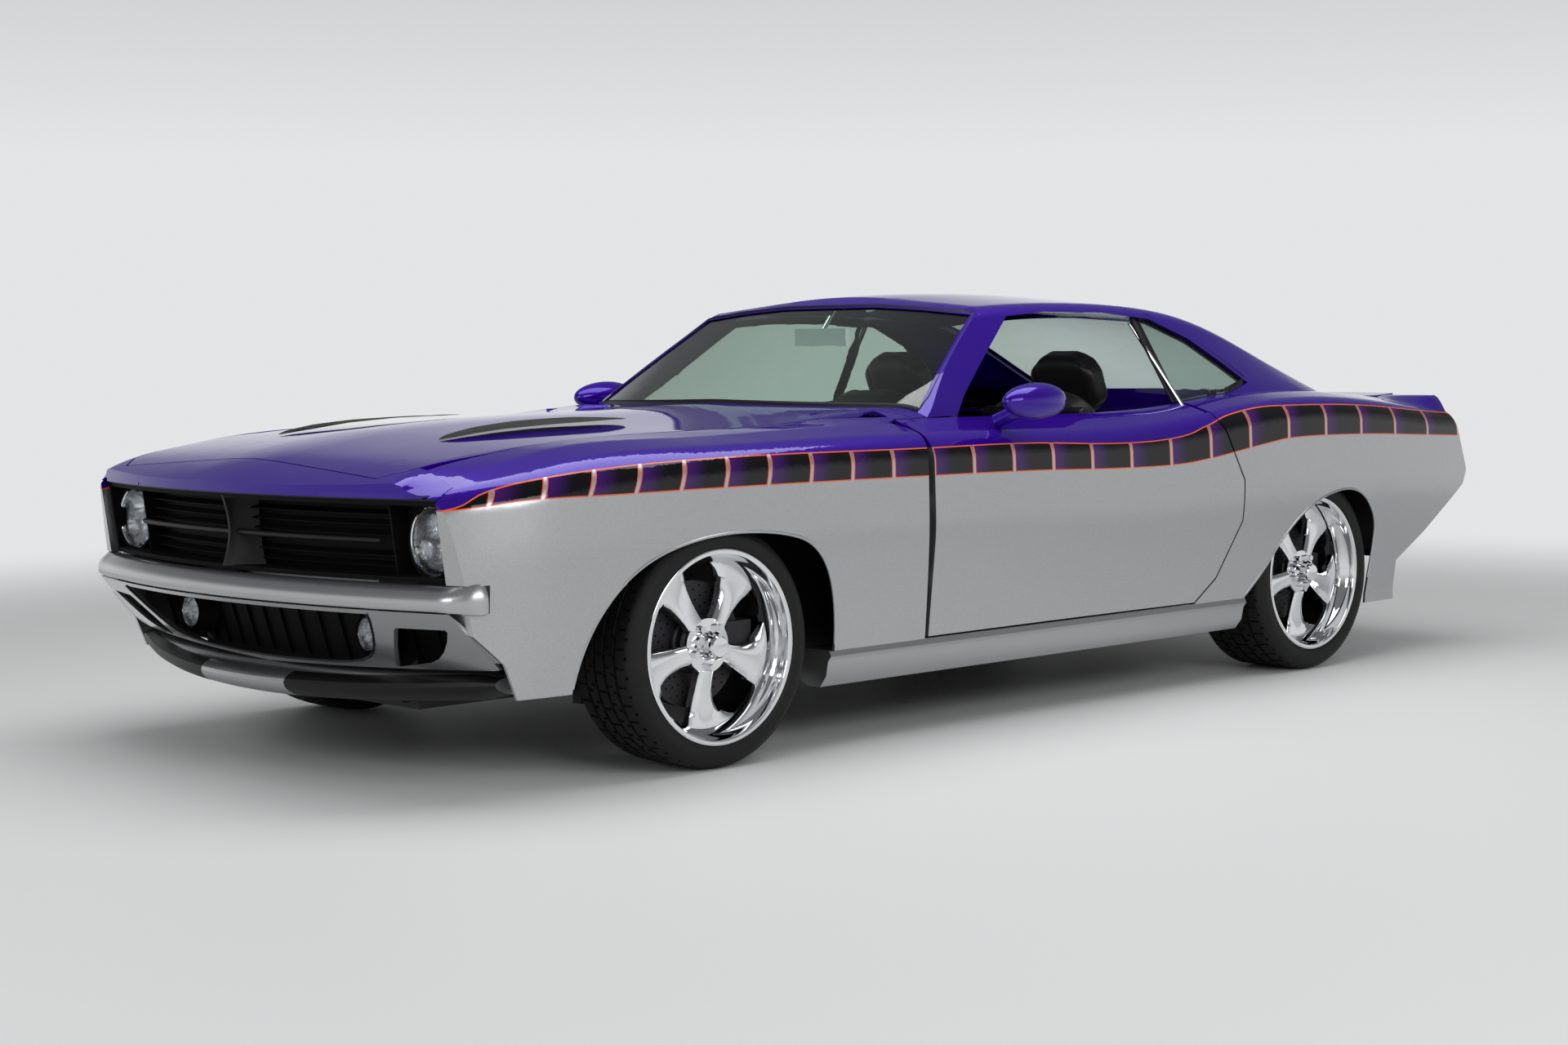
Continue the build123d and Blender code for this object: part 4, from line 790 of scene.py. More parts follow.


# %% [markdown]
# The grille is a black frame with a deep recess, and its extra-dark matt black is painted
# shade of the recess. Thin slats cross it behind one round satin black bar on each side, and
# a blade that flares to the rear divides it in the middle.

# %% Grille
NOSE_X = grille_high.x
GRILLE_HALF = grille_high.y
GRILLE_LOW_Z = grille_low.z
GRILLE_HIGH_Z = grille_high.z
GRILLE_END_Y = 0.590     # the recess of the grille ends here, and the lamp begins
FRAME_RIM = 0.012
SLAT_PITCH = 0.026
LAMP_Z = 0.634


def span_on(side, inner, outer):
    """Two places across the car on one side, lower one first."""
    return sorted((side * inner, side * outer))


def make_grille():
    bm = bmesh.new()
    z0, z1, half = GRILLE_LOW_Z, GRILLE_HIGH_Z, GRILLE_HALF
    back, face = NOSE_X - 0.10, NOSE_X - 0.004
    add_box(bm, (back, -half, z0), (face, half, z0 + FRAME_RIM), 36)
    add_box(bm, (back, -half, z1 - FRAME_RIM - 0.005), (NOSE_X - 0.006, half, z1 - 0.005), 36)
    for side in (-1, 1):
        inner, outer = span_on(side, half, half - FRAME_RIM)
        add_box(bm, (back, inner, z0 + FRAME_RIM), (face, outer, z1 - FRAME_RIM))
        inner, outer = span_on(side, 0.012, GRILLE_END_Y)
        for index in range(1, int((z1 - z0 - 2 * FRAME_RIM) / SLAT_PITCH) + 1):
            z = z0 + FRAME_RIM + index * SLAT_PITCH - 0.004
            behind_bar = abs(z - LAMP_Z) < 0.012
            if not behind_bar and z <= z1 - FRAME_RIM - 0.004:
                add_box(bm, (NOSE_X - 0.096, inner, z - 0.0012), (NOSE_X - 0.070, outer, z + 0.0012),
                        14, 0.35)
        # the wall that closes the recess beside each lamp
        inner, outer = span_on(side, GRILLE_END_Y, GRILLE_END_Y + 0.006)
        add_box(bm, (back, inner, z0 + FRAME_RIM), (NOSE_X - 0.045, outer, z1 - FRAME_RIM))
        # a thin near-black back sheet closes the recess behind the slats, as painted shade
        inner, outer = span_on(side, 0.012, half)
        add_box(bm, (NOSE_X - 0.1005, inner, z0), (NOSE_X - 0.0985, outer, z1), 18)
    bow(bm.verts)
    grille = new_piece("grille_frame", bm, [SHADOW_BLACK], fold=math.radians(30))
    soften = grille.modifiers.new("soft_edges", "BEVEL")
    soften.width = 0.0012
    soften.segments = 2
    soften.limit_method = "ANGLE"
    return grille


def make_grille_bars():
    bm = bmesh.new()
    start, stop = 0.02, GRILLE_END_Y - 0.02
    for side in (-1, 1):
        part = bmesh.new()
        bmesh.ops.create_cone(part, cap_ends=True, segments=20, radius1=0.0085, radius2=0.0085, depth=1.0)
        bmesh.ops.subdivide_edges(part, edges=edges_along(part, 2, 0.9), cuts=16)
        bmesh.ops.rotate(part, verts=part.verts, cent=(0, 0, 0), matrix=Matrix.Rotation(math.pi / 2, 3, "X"))
        bmesh.ops.scale(part, verts=part.verts, vec=(1.1, stop - start, 1))
        pour(part, bm, Matrix.Translation((NOSE_X - 0.034, side * (start + stop) / 2, LAMP_Z)))
    bow(bm.verts)
    return new_piece("grille_bars", bm, [SATIN_BLACK])


def make_divider():
    """Blade in the middle of the grille: thin at the front and flared to the rear."""
    bm = bmesh.new()
    z0, z1 = GRILLE_LOW_Z + 0.010, GRILLE_HIGH_Z - 0.010
    add_box(bm, (NOSE_X - 0.098, -0.5, z0), (NOSE_X - 0.006, 0.5, z1))
    bmesh.ops.subdivide_edges(bm, edges=edges_along(bm, 2, 0.1), cuts=10)
    bmesh.ops.subdivide_edges(bm, edges=edges_along(bm, 0, 0.05), cuts=8)
    for vert in bm.verts:
        back = (NOSE_X - 0.006 - vert.co.x) / 0.092
        height = (vert.co.z - z0) / (z1 - z0)
        vert.co.y *= 2 * (0.005 + 0.026 * back ** 1.6 + 0.030 * (1 - height) ** 3 * back)
        vert.co.x -= 0.020 * math.sin(math.pi * height) * (1 - back)
    return new_piece("grille_divider", bm, [SATIN_BLACK])


grille = make_grille()
bars = make_grille_bars()
divider = make_divider()
for piece in (grille, bars, divider):
    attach(piece, "body")
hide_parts("grille")

# %% [markdown]
# A lamp is a polished bowl behind a domed lens, in a black bucket with a bright rim. The
# bowl has facets and three smaller cups, so that it breaks reflections up as the real one
# does.

# %% Lamps
# name, radius, x of the face, y, z, depth of the bowl, depth of the bucket
LAMPS = (("headlamp", 0.089, 2.186, 0.709, LAMP_Z, 0.062, 0.07),
         ("foglamp", 0.044, 2.184, 0.427, 0.386, 0.036, 0.045))
FLUTE_MM = 14.0          # a wave repeats every 0.314 of its size, so the flutes are 4.4 mm apart


def turned_x(bm, outline, steps, centre):
    """Spins (radius, x) points about an axis along x through centre."""
    part = bmesh.new()
    turned(part, outline, steps)
    pour(part, bm, Matrix.Translation(centre) @ Matrix.Rotation(-math.pi / 2, 4, "Z"))


def lens_outline(radius, bulge, thick):
    """Closed outline of a domed lens from its middle to its edge and back."""
    front = [(radius * i / 10, bulge * (1 - (i / 10) ** 2)) for i in range(11)]
    back = [(radius * i / 10, bulge * (1 - (i / 10) ** 2) - thick) for i in range(10, -1, -1)]
    return front + back


def make_lamp(name, radius, centre, depth):
    """Bowl, lens and rim of a lamp whose face is at centre."""
    bm = bmesh.new()
    bowl = [(0.0, -depth), (radius * 0.35, -depth * 0.96), (radius * 0.62, -depth * 0.78),
            (radius * 0.82, -depth * 0.5), (radius * 0.93, -depth * 0.15), (radius * 0.95, -0.002)]
    turned_x(bm, bowl, 28, centre)
    for dy, dz, size in ((0.0, 0.42, 0.36), (-0.4, -0.26, 0.30), (0.4, -0.26, 0.30)):
        wide = radius * size
        pod = [(0.0, -depth * 0.70), (wide * 0.7, -depth * 0.55), (wide, -depth * 0.18),
               (wide * 0.92, -depth * 0.16), (wide * 0.45, -depth * 0.5), (0.0, -depth * 0.3)]
        turned_x(bm, pod, 14, centre + Vector((0, dy * radius, dz * radius)))
    bowl_piece = new_piece(f"{name}_bowl", bm, [POLISHED], fold=math.radians(12))
    bm = bmesh.new()
    turned_x(bm, lens_outline(radius * 0.955, radius * 0.14, 0.004), 48, centre + Vector((-0.006, 0, 0)))
    lens_piece = new_piece(f"{name}_lens", bm, [FLUTED])
    bm = bmesh.new()
    ring = [(radius * 0.94, -0.010), (radius * 0.94, 0.001), (radius * 0.965, 0.004), (radius, 0.001),
            (radius, -0.012)]
    turned_x(bm, ring, 64, centre)
    rim_piece = new_piece(f"{name}_rim", bm, [POLISHED])
    return bowl_piece, lens_piece, rim_piece


def fluted_lens():
    """Clear moulded lens with upright flutes, which spread the light and cloud the bowl behind."""
    material, shader = finish("fluted_clear_lens", "F2F5F7", Roughness=0.03, IOR=1.45,
                              Transmission_Weight=1.0)
    where = place_mm(material)
    waves = add_node(material, "TexWave", {"Vector": where, "Scale": 1 / FLUTE_MM, "Distortion": 0.4},
                     bands_direction="Y")
    tone = add_node(material, "Mix", {0: waves.outputs["Fac"], 6: colour("E6EBEF"), 7: colour("F7FAFC")},
                    data_type="RGBA")
    raised = add_node(material, "Bump", {"Strength": 0.35, "Distance": 0.001, "Height": waves.outputs["Fac"]})
    material.node_tree.links.new(tone.outputs[2], shader.inputs["Base Color"])
    material.node_tree.links.new(raised.outputs[0], shader.inputs["Normal"])
    return material


FLUTED = fluted_lens()
lamp_pieces = []
for side, hand in HANDS:
    for kind, radius, face_x, y, z, depth, _ in LAMPS:
        lamp_pieces += make_lamp(f"{kind}_{hand}", radius, Vector((face_x, side * y, z)), depth)
for piece in lamp_pieces:
    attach(piece, "body")
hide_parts("front_lamps")

# The black buckets wear the grille's darker black, which paints the shade round each lamp.
bm = bmesh.new()
for side in (-1, 1):
    for _, radius, face_x, y, z, _, depth in LAMPS:
        bucket = [(radius + 0.004, 0.006), (radius + 0.0005, 0.0), (radius + 0.0005, -depth), (0.0, -depth),
                  (0.0, -depth - 0.003), (radius + 0.020, -depth - 0.003), (radius + 0.011, -0.018),
                  (radius + 0.007, 0.005)]
        turned_x(bm, bucket, 48, Vector((face_x, side * y, z)))
buckets = new_piece("lamp_buckets", bm, [SHADOW_BLACK])
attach(buckets, "body")
print("grille and lamps done")

# %% [markdown]
# Loose trim sits on the panels, so its height is read from them: a ray falls on the merged
# panel and gives the surface under any point. One helper also rides a piece on its body.

# %% Surface and dressing helpers
def smooth_step(value):
    """0 to 1 with soft ends."""
    value = max(0.0, min(1.0, value))
    return value * value * (3 - 2 * value)


def surface_of(name):
    """A tree of a panel's faces, which a ray can be cast at."""
    bm = bmesh.new()
    bm.from_mesh(bpy.data.objects[name].data)
    tree = BVHTree.FromBMesh(bm)
    bm.free()
    return tree


def hit(tree, start, direction):
    """Nearest point at which a ray meets the panel, or None."""
    return tree.ray_cast(Vector(start), Vector(direction))[0]


def dress(piece, body, slot, *solids):
    """Rides a piece on its body and hides the solids it stands for. Its slot is not used."""
    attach(piece, body)
    if solids:
        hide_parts(*solids)


# %% [markdown]
# Bumper and chin lip have one closed profile that is carried across the car. A grid is
# wrapped to the profile, row by row, and its open ends are filled. Thin beads are curves
# with a round bevel, and a curve has to become a mesh before the car can wear it.

# %% Sweeping helpers
def swept(profile, stations, place):
    """A closed profile carried through stations: place turns (station, profile point) into a point."""
    bm = bmesh.new()
    rows, steps = len(profile), len(stations) - 1
    bmesh.ops.create_grid(bm, x_segments=steps, y_segments=rows, size=0.5)
    for vert in bm.verts:
        station = stations[round((vert.co.x + 0.5) * steps)]
        vert.co = place(station, profile[round((vert.co.y + 0.5) * rows) % rows])
    bmesh.ops.remove_doubles(bm, verts=bm.verts, dist=0.000001)
    bmesh.ops.holes_fill(bm, edges=[edge for edge in bm.edges if edge.is_boundary], sides=0)
    return bm


def curve_mesh(curve):
    """The mesh that a curve makes, from a holder that is taken away again."""
    holder = linked("holder", curve)
    bpy.context.view_layer.update()
    mesh = bpy.data.meshes.new_from_object(holder)
    bpy.data.objects.remove(holder)
    return mesh


def tube(name, points, radius, material):
    """A thin round bead along points."""
    line = bpy.data.curves.new(name, "CURVE")
    line.dimensions = "3D"
    run = line.splines.new("POLY")
    run.points.add(len(points) - 1)
    for point, place in zip(run.points, points):
        point.co = (*place, 1)
    line.bevel_depth = radius
    line.bevel_resolution = 3
    line.use_fill_caps = True
    bm = bmesh.new()
    bm.from_mesh(curve_mesh(line))
    return new_piece(name, bm, [material])


# %% [markdown]
# The bumper is a crowned blade that follows the bowed nose and turns round its corners
# in flared tips. Its profile is drawn from the back lip over the face to the back again.

# %% Front bumper
BUMPER_FACE_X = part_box("front_bumper")[1].x
BUMPER_MIDDLE_Z = 0.5
BUMPER_PROFILE = [  # depth behind the face, height
    (0.052, 0.4695), (0.010, 0.4690), (0.004, 0.4715), (0.001, 0.4765), (0.0, 0.4840), (0.0, 0.4960),
    (0.002, 0.5040), (0.007, 0.5120), (0.015, 0.5200), (0.024, 0.5270), (0.029, 0.5300), (0.036, 0.5315),
    (0.052, 0.5318),
]
# y, x and flare of the stations round a corner
TIP = [(0.828, 2.2455, 0.05), (0.846, 2.2300, 0.25), (0.863, 2.2125, 0.55), (0.876, 2.1960, 0.85),
       (0.884, 2.1780, 1.0), (0.887, 2.1640, 1.0), (0.887, 2.1540, 0.9)]


def bumper_stations():
    """Stations from tip to tip: every 4 cm along the bow, then round each corner."""
    half = [(y * 0.01, BUMPER_FACE_X - nose_drop(y * 0.01), 0.0) for y in range(0, 81, 4)] + TIP
    return [(-y, x, flare) for y, x, flare in reversed(half[1:])] + half


BUMPER_STATIONS = bumper_stations()


def place_on_bumper(station, point):
    """Sets a profile point behind the face, square to the bumper's line in plan."""
    y, x, flare = station
    index = BUMPER_STATIONS.index(station)
    before = BUMPER_STATIONS[max(0, index - 1)]
    after = BUMPER_STATIONS[min(len(BUMPER_STATIONS) - 1, index + 1)]
    run = Vector((after[1] - before[1], after[0] - before[0])).normalized()
    depth, z = point
    depth *= 1.0 - 0.55 * flare
    rise = (z - BUMPER_MIDDLE_Z) * (1.0 + 0.22 * flare)
    return Vector((x - run.y * depth, y + run.x * depth, BUMPER_MIDDLE_Z + rise))


bumper = new_piece("front_bumper_blade", swept(BUMPER_PROFILE, BUMPER_STATIONS, place_on_bumper), [SILVER])
dress(bumper, "body", "lower_paint", "front_bumper")

# %% [markdown]
# The valance is a flat sheet with holes until the last step. A filled 2D curve makes the
# holes by itself; the mesh is then sliced so that it can bend, and wrapped to the nose.

# %% Front valance
VALANCE_FOOT = (2.130, 0.200)   # x and z of the sheet's line at y = 0
VALANCE_SLOPE = 0.893           # metres forward for each metre up
VALANCE_WALL = 0.012
SLICE = 0.04                    # width of the strips in which the sheet bends
# y and z of half an outline each: the sheet, the mouth and one duct
VALANCE_EDGE = [(0.0, 0.2865), (0.42, 0.302), (0.838, 0.3185), (0.858, 0.322), (0.840, 0.440),
                (0.826, 0.4672)]
MOUTH = [(0.0, 0.304), (0.10, 0.3045), (0.20, 0.307), (0.30, 0.3105), (0.377, 0.3155), (0.430, 0.3225),
         (0.468, 0.334), (0.495, 0.349), (0.520, 0.370), (0.548, 0.402), (0.575, 0.440), (0.582, 0.456)]
DUCT = [(0.536, 0.3135), (0.548, 0.3120), (0.610, 0.3215), (0.665, 0.3305), (0.700, 0.3430), (0.733, 0.3630),
        (0.768, 0.3920), (0.792, 0.4180), (0.790, 0.4240), (0.640, 0.4225), (0.628, 0.4150), (0.580, 0.3660)]


def whole(half):
    """Both halves of an outline that starts at y = 0, from the left one."""
    return half + [(-y, z) for y, z in reversed(half) if y > 0]


def valance_x(y, z):
    """Middle of the sheet's wall at y and z."""
    return VALANCE_FOOT[0] + (z - VALANCE_FOOT[1]) * VALANCE_SLOPE - nose_drop(y)


def make_valance():
    sheet = bpy.data.curves.new("valance_sheet", "CURVE")
    sheet.dimensions = "2D"
    sheet.fill_mode = "BOTH"
    sheet.extrude = VALANCE_WALL / 2
    for loop in (whole(VALANCE_EDGE), whole(MOUTH), DUCT, [(-y, z) for y, z in DUCT]):
        run = sheet.splines.new("POLY")
        run.points.add(len(loop) - 1)
        for point, (y, z) in zip(run.points, loop):
            point.co = (y, z, 0, 1)
        run.use_cyclic_u = True
    bm = bmesh.new()
    bm.from_mesh(curve_mesh(sheet))
    bmesh.ops.remove_doubles(bm, verts=bm.verts, dist=MERGE)
    for index in range(-21, 22):
        bmesh.ops.bisect_plane(bm, geom=bm.verts[:] + bm.edges[:] + bm.faces[:],
                               plane_co=(index * SLICE, 0, 0), plane_no=(1, 0, 0))
    for vert in bm.verts:
        y, z, wall = vert.co
        vert.co = Vector((valance_x(y, z) - VALANCE_WALL / 2 + wall, y, z))
    return bm


valance = new_piece("lower_nose_panel", make_valance(), [SILVER])
dress(valance, "body", "lower_paint", "front_valance")
mouth_trim = [Vector((valance_x(y, z) + 0.001, y, z)) for y, z in
              [(-y, z) for y, z in reversed(MOUTH) if y > 0] + MOUTH]
dress(tube("mouth_trim", mouth_trim, 0.0032, SATIN_BLACK), "body", "black_trim")

# %% [markdown]
# The chin lip is a fat rounded blade under the valance. Its ends are set back and raised.
# It is silver in the middle and satin black along its front on both sides, which is told
# face by face once the blade is swept.

# %% Chin lip
CHIN_TIP_X = 2.306
CHIN_HALF = 0.836
CHIN_SET_BACK = 0.206    # how far the ends lie behind the tip
CHIN_RISE = 0.032        # and how far above it
CHIN_MIDDLE_Z = 0.248
CHIN_SILVER_HALF = 0.20
CHIN_LIP_DEEP = 0.047
CHIN_PROFILE = [  # depth behind the tip, height
    (0.126, 0.286), (0.090, 0.286), (0.060, 0.2835), (0.034, 0.2780), (0.014, 0.2700), (0.003, 0.2600),
    (0.0, 0.2500), (0.003, 0.2400), (0.012, 0.2300), (0.030, 0.2190), (0.052, 0.2115), (0.072, 0.2095),
    (0.126, 0.2140),
]
CHIN_STATIONS = sorted([index / 30 for index in range(-30, 31)]
                       + [side * CHIN_SILVER_HALF / CHIN_HALF for side in (-1, 1)])


def place_on_chin(share, point):
    depth, z = point
    tight = 1.0 - 0.35 * smooth_step((abs(share) - 0.90) / 0.10)
    return Vector((CHIN_TIP_X - CHIN_SET_BACK * share ** 2 - depth, CHIN_HALF * share,
                   CHIN_MIDDLE_Z + (z - CHIN_MIDDLE_Z) * tight + CHIN_RISE * share ** 2))


bm = swept(CHIN_PROFILE, CHIN_STATIONS, place_on_chin)
for face in bm.faces:
    middle = face.calc_center_median()
    share = middle.y / CHIN_HALF
    depth = CHIN_TIP_X - CHIN_SET_BACK * share ** 2 - middle.x
    on_lip = depth < CHIN_LIP_DEEP or middle.z < CHIN_MIDDLE_Z - 0.003 + CHIN_RISE * share ** 2
    face.material_index = 1 if abs(middle.y) > CHIN_SILVER_HALF and on_lip else 0
dress(new_piece("chin_lip", bm, [SILVER, SATIN_BLACK]), "body", "lower_paint", "chin_spoiler")

# %% [markdown]
# The painted header above the grille ends in a folded lip. On both sides a short swept
# block closes the fold over the lamps, with its face found by rays on the header. A black
# rubber bead runs along the lower edge, where header and grille meet.

# %% Header lip and edge trim
LIP_SPAN = (0.44, 0.79)
LIP_STOPS = 15
LIP_LOW_Z, LIP_HIGH_Z = 0.7425, 0.7640
LIP_PROFILE = [(0.0, LIP_LOW_Z), (0.0, LIP_HIGH_Z), (0.018, LIP_HIGH_Z), (0.018, LIP_LOW_Z)]
header_skin = surface_of("header_panel")


def place_on_lip(station, point):
    (x, y), (depth, z) = station, point
    return Vector((x - depth, y, z))


for side, hand in HANDS:
    stations = []
    for index in range(LIP_STOPS):
        y = side * (LIP_SPAN[0] + (LIP_SPAN[1] - LIP_SPAN[0]) * index / (LIP_STOPS - 1))
        face = hit(header_skin, (3.0, y, LIP_HIGH_Z + 0.002), (-1, 0, 0))
        if face is not None:
            stations.append((face.x - 0.0015, y))
    lip = new_piece(f"header_lip_{hand}", swept(LIP_PROFILE, stations, place_on_lip), [PURPLE])
    dress(lip, "body", "paint")
    print("header lip", hand, len(stations))
header_edge = [Vector((NOSE_X - nose_drop(index * 0.02) - 0.003, index * 0.02, GRILLE_HIGH_Z - 0.001))
               for index in range(-40, 41)]
dress(tube("header_edge_trim", header_edge, 0.0055, SATIN_BLACK), "body", "black_trim")

# %% [markdown]
# Two long scoops stand on the hood. Each is a teardrop with a purple skirt, a rounded
# black rim and a sunken screen. A disc is inset six times to make skirt, rim and recess
# while it is still round. Then it is stretched to a teardrop and laid on the hood.

# %% Hood scoops
SCOOP_MIDDLE_X = 1.606
SCOOP_REACH = 0.312
SCOOP_HALF = 0.092
SCOOP_Y = 0.380
SCOOP_FOOT = 0.002       # the skirt goes this far into the hood
WIRE_MM = 22.0           # a wave repeats every 0.314 of its size, so the wires are 7 mm apart
# steps inwards and upwards in shares of the half width: shoulder, rim and recess wall
SCOOP_STEPS = ((0.06, 0.30), (0.07, 0.10), (0.09, 0.0), (0.05, -0.12), (0.04, -0.50))
# x and height of the rim's top along the scoop
SCOOP_TOP = [(1.28, 0.930), (1.40, 0.939), (1.60, 0.934), (1.76, 0.920), (1.88, 0.896), (1.93, 0.872)]


def screen_mesh():
    """Woven black wire screen: crossed wires 7 mm apart, drawn coarse enough to show, with painted shade of
    the hollow behind between the wires.
    """
    material, shader = finish("black_wire_screen_over_painted_shade", "060607", Roughness=0.5, Specular_IOR_Level=0.3)
    where = place_mm(material)
    waves = [add_node(material, "TexWave", {"Vector": where, "Scale": 1 / WIRE_MM}, bands_direction=axis)
             for axis in ("X", "Y")]
    wires = add_node(material, "Math", {0: waves[0].outputs["Fac"], 1: waves[1].outputs["Fac"]},
                     operation="MAXIMUM")
    # the wires keep their own black, and the near-black between them is painted shade of the hollow behind
    tone = add_node(material, "Mix", {0: wires.outputs[0], 6: colour("020203"), 7: colour("18181A")},
                    data_type="RGBA")
    raised = add_node(material, "Bump", {"Strength": 0.8, "Distance": 0.002, "Height": wires.outputs[0]})
    material.node_tree.links.new(tone.outputs[2], shader.inputs["Base Color"])
    material.node_tree.links.new(raised.outputs[0], shader.inputs["Normal"])
    return material


SCREEN = screen_mesh()
hood_skin = surface_of("hood_panel")


def make_scoop(side):
    bm = bmesh.new()
    bmesh.ops.create_circle(bm, cap_ends=True, segments=72, radius=1.0)
    top = list(bm.faces)
    skirt = bmesh.ops.inset_region(bm, faces=top, thickness=0.07, depth=0.60)["faces"]
    for face in skirt:
        face.material_index = 2
    for step, lift in SCOOP_STEPS:
        bmesh.ops.inset_region(bm, faces=top, thickness=step, depth=lift)
    for face in top:
        face.material_index = 1
    bmesh.ops.poke(bm, faces=top)
    for vert in bm.verts:
        along, across, lift = vert.co
        taper = 1.0 - 0.34 * along - 0.10 * along * along
        x = SCOOP_MIDDLE_X + SCOOP_REACH * along
        y = side * SCOOP_Y + SCOOP_HALF * across * taper
        ground = hit(hood_skin, (x, y, 1.5), (0, 0, -1)).z - SCOOP_FOOT
        rise = max(0.012, between(SCOOP_TOP, x) - ground)
        vert.co = Vector((x, y, ground + rise * lift))
    return bm


for side, hand in HANDS:
    finishes = [SATIN_BLACK, SCREEN, PURPLE]
    scoop = new_piece(f"hood_scoop_{hand}", make_scoop(side), finishes, fold=math.radians(50))
    dress(scoop, "hood", "black_trim", *(["hood_scoops"] if side > 0 else []))
print("scoops done")

# %% [markdown]
# Behind the mouth and the two ducts of the lower nose there is only darkness, so a bowed
# near-black screen with thin upright ribs stands there as painted shade. It hides the
# running gear as the real one does.

# %% Lower nose screen of painted shade
MOUTH_BACK_X = 2.175
SHADE_SCREEN_LEAN = 0.3        # metres back for each metre down
RIB_PITCH = 0.086
bm = bmesh.new()
add_box(bm, (MOUTH_BACK_X, -0.82, 0.292), (MOUTH_BACK_X + 0.003, 0.82, 0.462), 40)
for index in range(-9, 10):
    y = index * RIB_PITCH
    add_box(bm, (MOUTH_BACK_X + 0.003, y - 0.002, 0.300), (MOUTH_BACK_X + 0.012, y + 0.002, 0.458))
for vert in bm.verts:
    vert.co.x -= nose_drop(vert.co.y) + SHADE_SCREEN_LEAN * (0.458 - vert.co.z)
# The sheet's near-black is painted shade behind the mouth and the ducts.
dress(new_piece("lower_nose_painted_shade_screen", bm, [SHADOW_BLACK]), "body", "black_trim")

# %% [markdown]
# The ducktail of the trunk lid runs on over both quarters in an end cap. It is a grid
# that is lifted off the panel to the height of the lid's edge and fades out ahead.

# %% Ducktail end caps
TAIL_AXIS_X = 3.139      # the tail's edge is an arc in plan about this point,
TAIL_REACH = 5.4005      # with this radius
CAP_FRONT_X = -2.04
CAP_TOP_Z = 0.9135
CAP_INNER_Y = 0.6465
CAP_WIDE = 0.248
QUARTER_Z = 0.86         # height taken where a ray misses the quarter


def tail_x(y):
    """Where the tail ends at y."""
    return TAIL_AXIS_X - math.sqrt(TAIL_REACH ** 2 - y * y)


def quarter_z(skin, x, y):
    """Height of the quarter at x and y."""
    ground = hit(skin, (x, y, 1.5), (0, 0, -1))
    return ground.z if ground else QUARTER_Z


def make_tail_cap(side, skin):
    bm = bmesh.new()
    bmesh.ops.create_grid(bm, x_segments=16, y_segments=16, size=0.5)
    for vert in bm.verts:
        y = side * (CAP_INNER_Y + (vert.co.y + 0.5) * CAP_WIDE)
        x = CAP_FRONT_X + (vert.co.x + 0.5) * (tail_x(y) + 0.002 - CAP_FRONT_X)
        z = quarter_z(skin, x, y)
        lift = smooth_step((CAP_FRONT_X - x) / 0.125) * smooth_step((0.897 - abs(y)) / 0.07)
        vert.co = Vector((x, y, z - 0.001 + (CAP_TOP_Z - z) * lift))
    faces = list(bm.faces)
    bmesh.ops.recalc_face_normals(bm, faces=faces)
    wall = bmesh.ops.extrude_face_region(bm, geom=faces)
    for vert in wall["geom"]:
        if isinstance(vert, bmesh.types.BMVert):
            vert.co.z = min(vert.co.z, quarter_z(skin, vert.co.x, vert.co.y)) - 0.006
    return bm


for side, hand in HANDS:
    cap = make_tail_cap(side, surface_of(f"quarter_{hand}_panel"))
    dress(new_piece(f"ducktail_end_{hand}", cap, [PAINT]), "body", "paint")

# %% [markdown]
# Each outside mirror has an egg-shaped head that is cut off square at the rear for its
# glass. Head and glass are both turned about the head's long axis.

# %% Outside mirrors
EGG_LONG = 0.132
EGG_ROUND = 0.0535
EGG_MIDDLE = (0.2185, 0.970, 0.940)
GLASS_AT = 2.42          # angle at which the egg is cut for its glass


def egg_outline():
    """Radius and place along the egg, from its nose to the rim of its glass."""
    angles = [GLASS_AT * index / 20 for index in range(21)]
    shell = [(EGG_ROUND * math.sin(t) * (1.0 - 0.07 * math.cos(t)), EGG_LONG * math.cos(t)) for t in angles]
    radius, place = shell[-1]
    return [(0.0, EGG_LONG)] + shell[1:] + [(radius - 0.003, place - 0.001), (radius - 0.004, place + 0.003)]


for side, hand in HANDS:
    centre = Vector((EGG_MIDDLE[0], side * EGG_MIDDLE[1], EGG_MIDDLE[2]))
    outline = egg_outline()
    bm = bmesh.new()
    turned_x(bm, outline, 48, centre)
    dress(new_piece(f"mirror_head_{hand}", bm, [PAINT], fold=math.radians(60)), f"door_{hand}", "paint")
    edge, depth = outline[-1]
    bm = bmesh.new()
    turned_x(bm, [(0.0, depth - 0.001), (edge, depth - 0.001), (edge, depth + 0.001), (0.0, depth + 0.001)],
             48, centre)
    dress(new_piece(f"mirror_glass_{hand}", bm, [MIRROR]), f"door_{hand}", "mirror_glass")

# %% [markdown]
# A black rubber seal frames each pane. The thin wall round the edge of the pane is the
# seal's path already, so it is copied on its own and made thick with the solidify modifier.

# %% Window seals
SEAL_RUBBER = satin_black("extruded_black_rubber_seal")
# pane, width of its seal, and the way it faces: forwards, to its own side and up
PANES = (("windshield", 0.022, 0.87, 0.2, 0.5), ("rear_window", 0.026, -0.3, 0.0, 0.95),
         ("quarter_windows", 0.036, 0.0, 0.88, 0.47), ("door_glass", 0.036, 0.0, 0.88, 0.47))
FACING = 0.55            # a face that looks out or in more squarely than this is the pane's skin


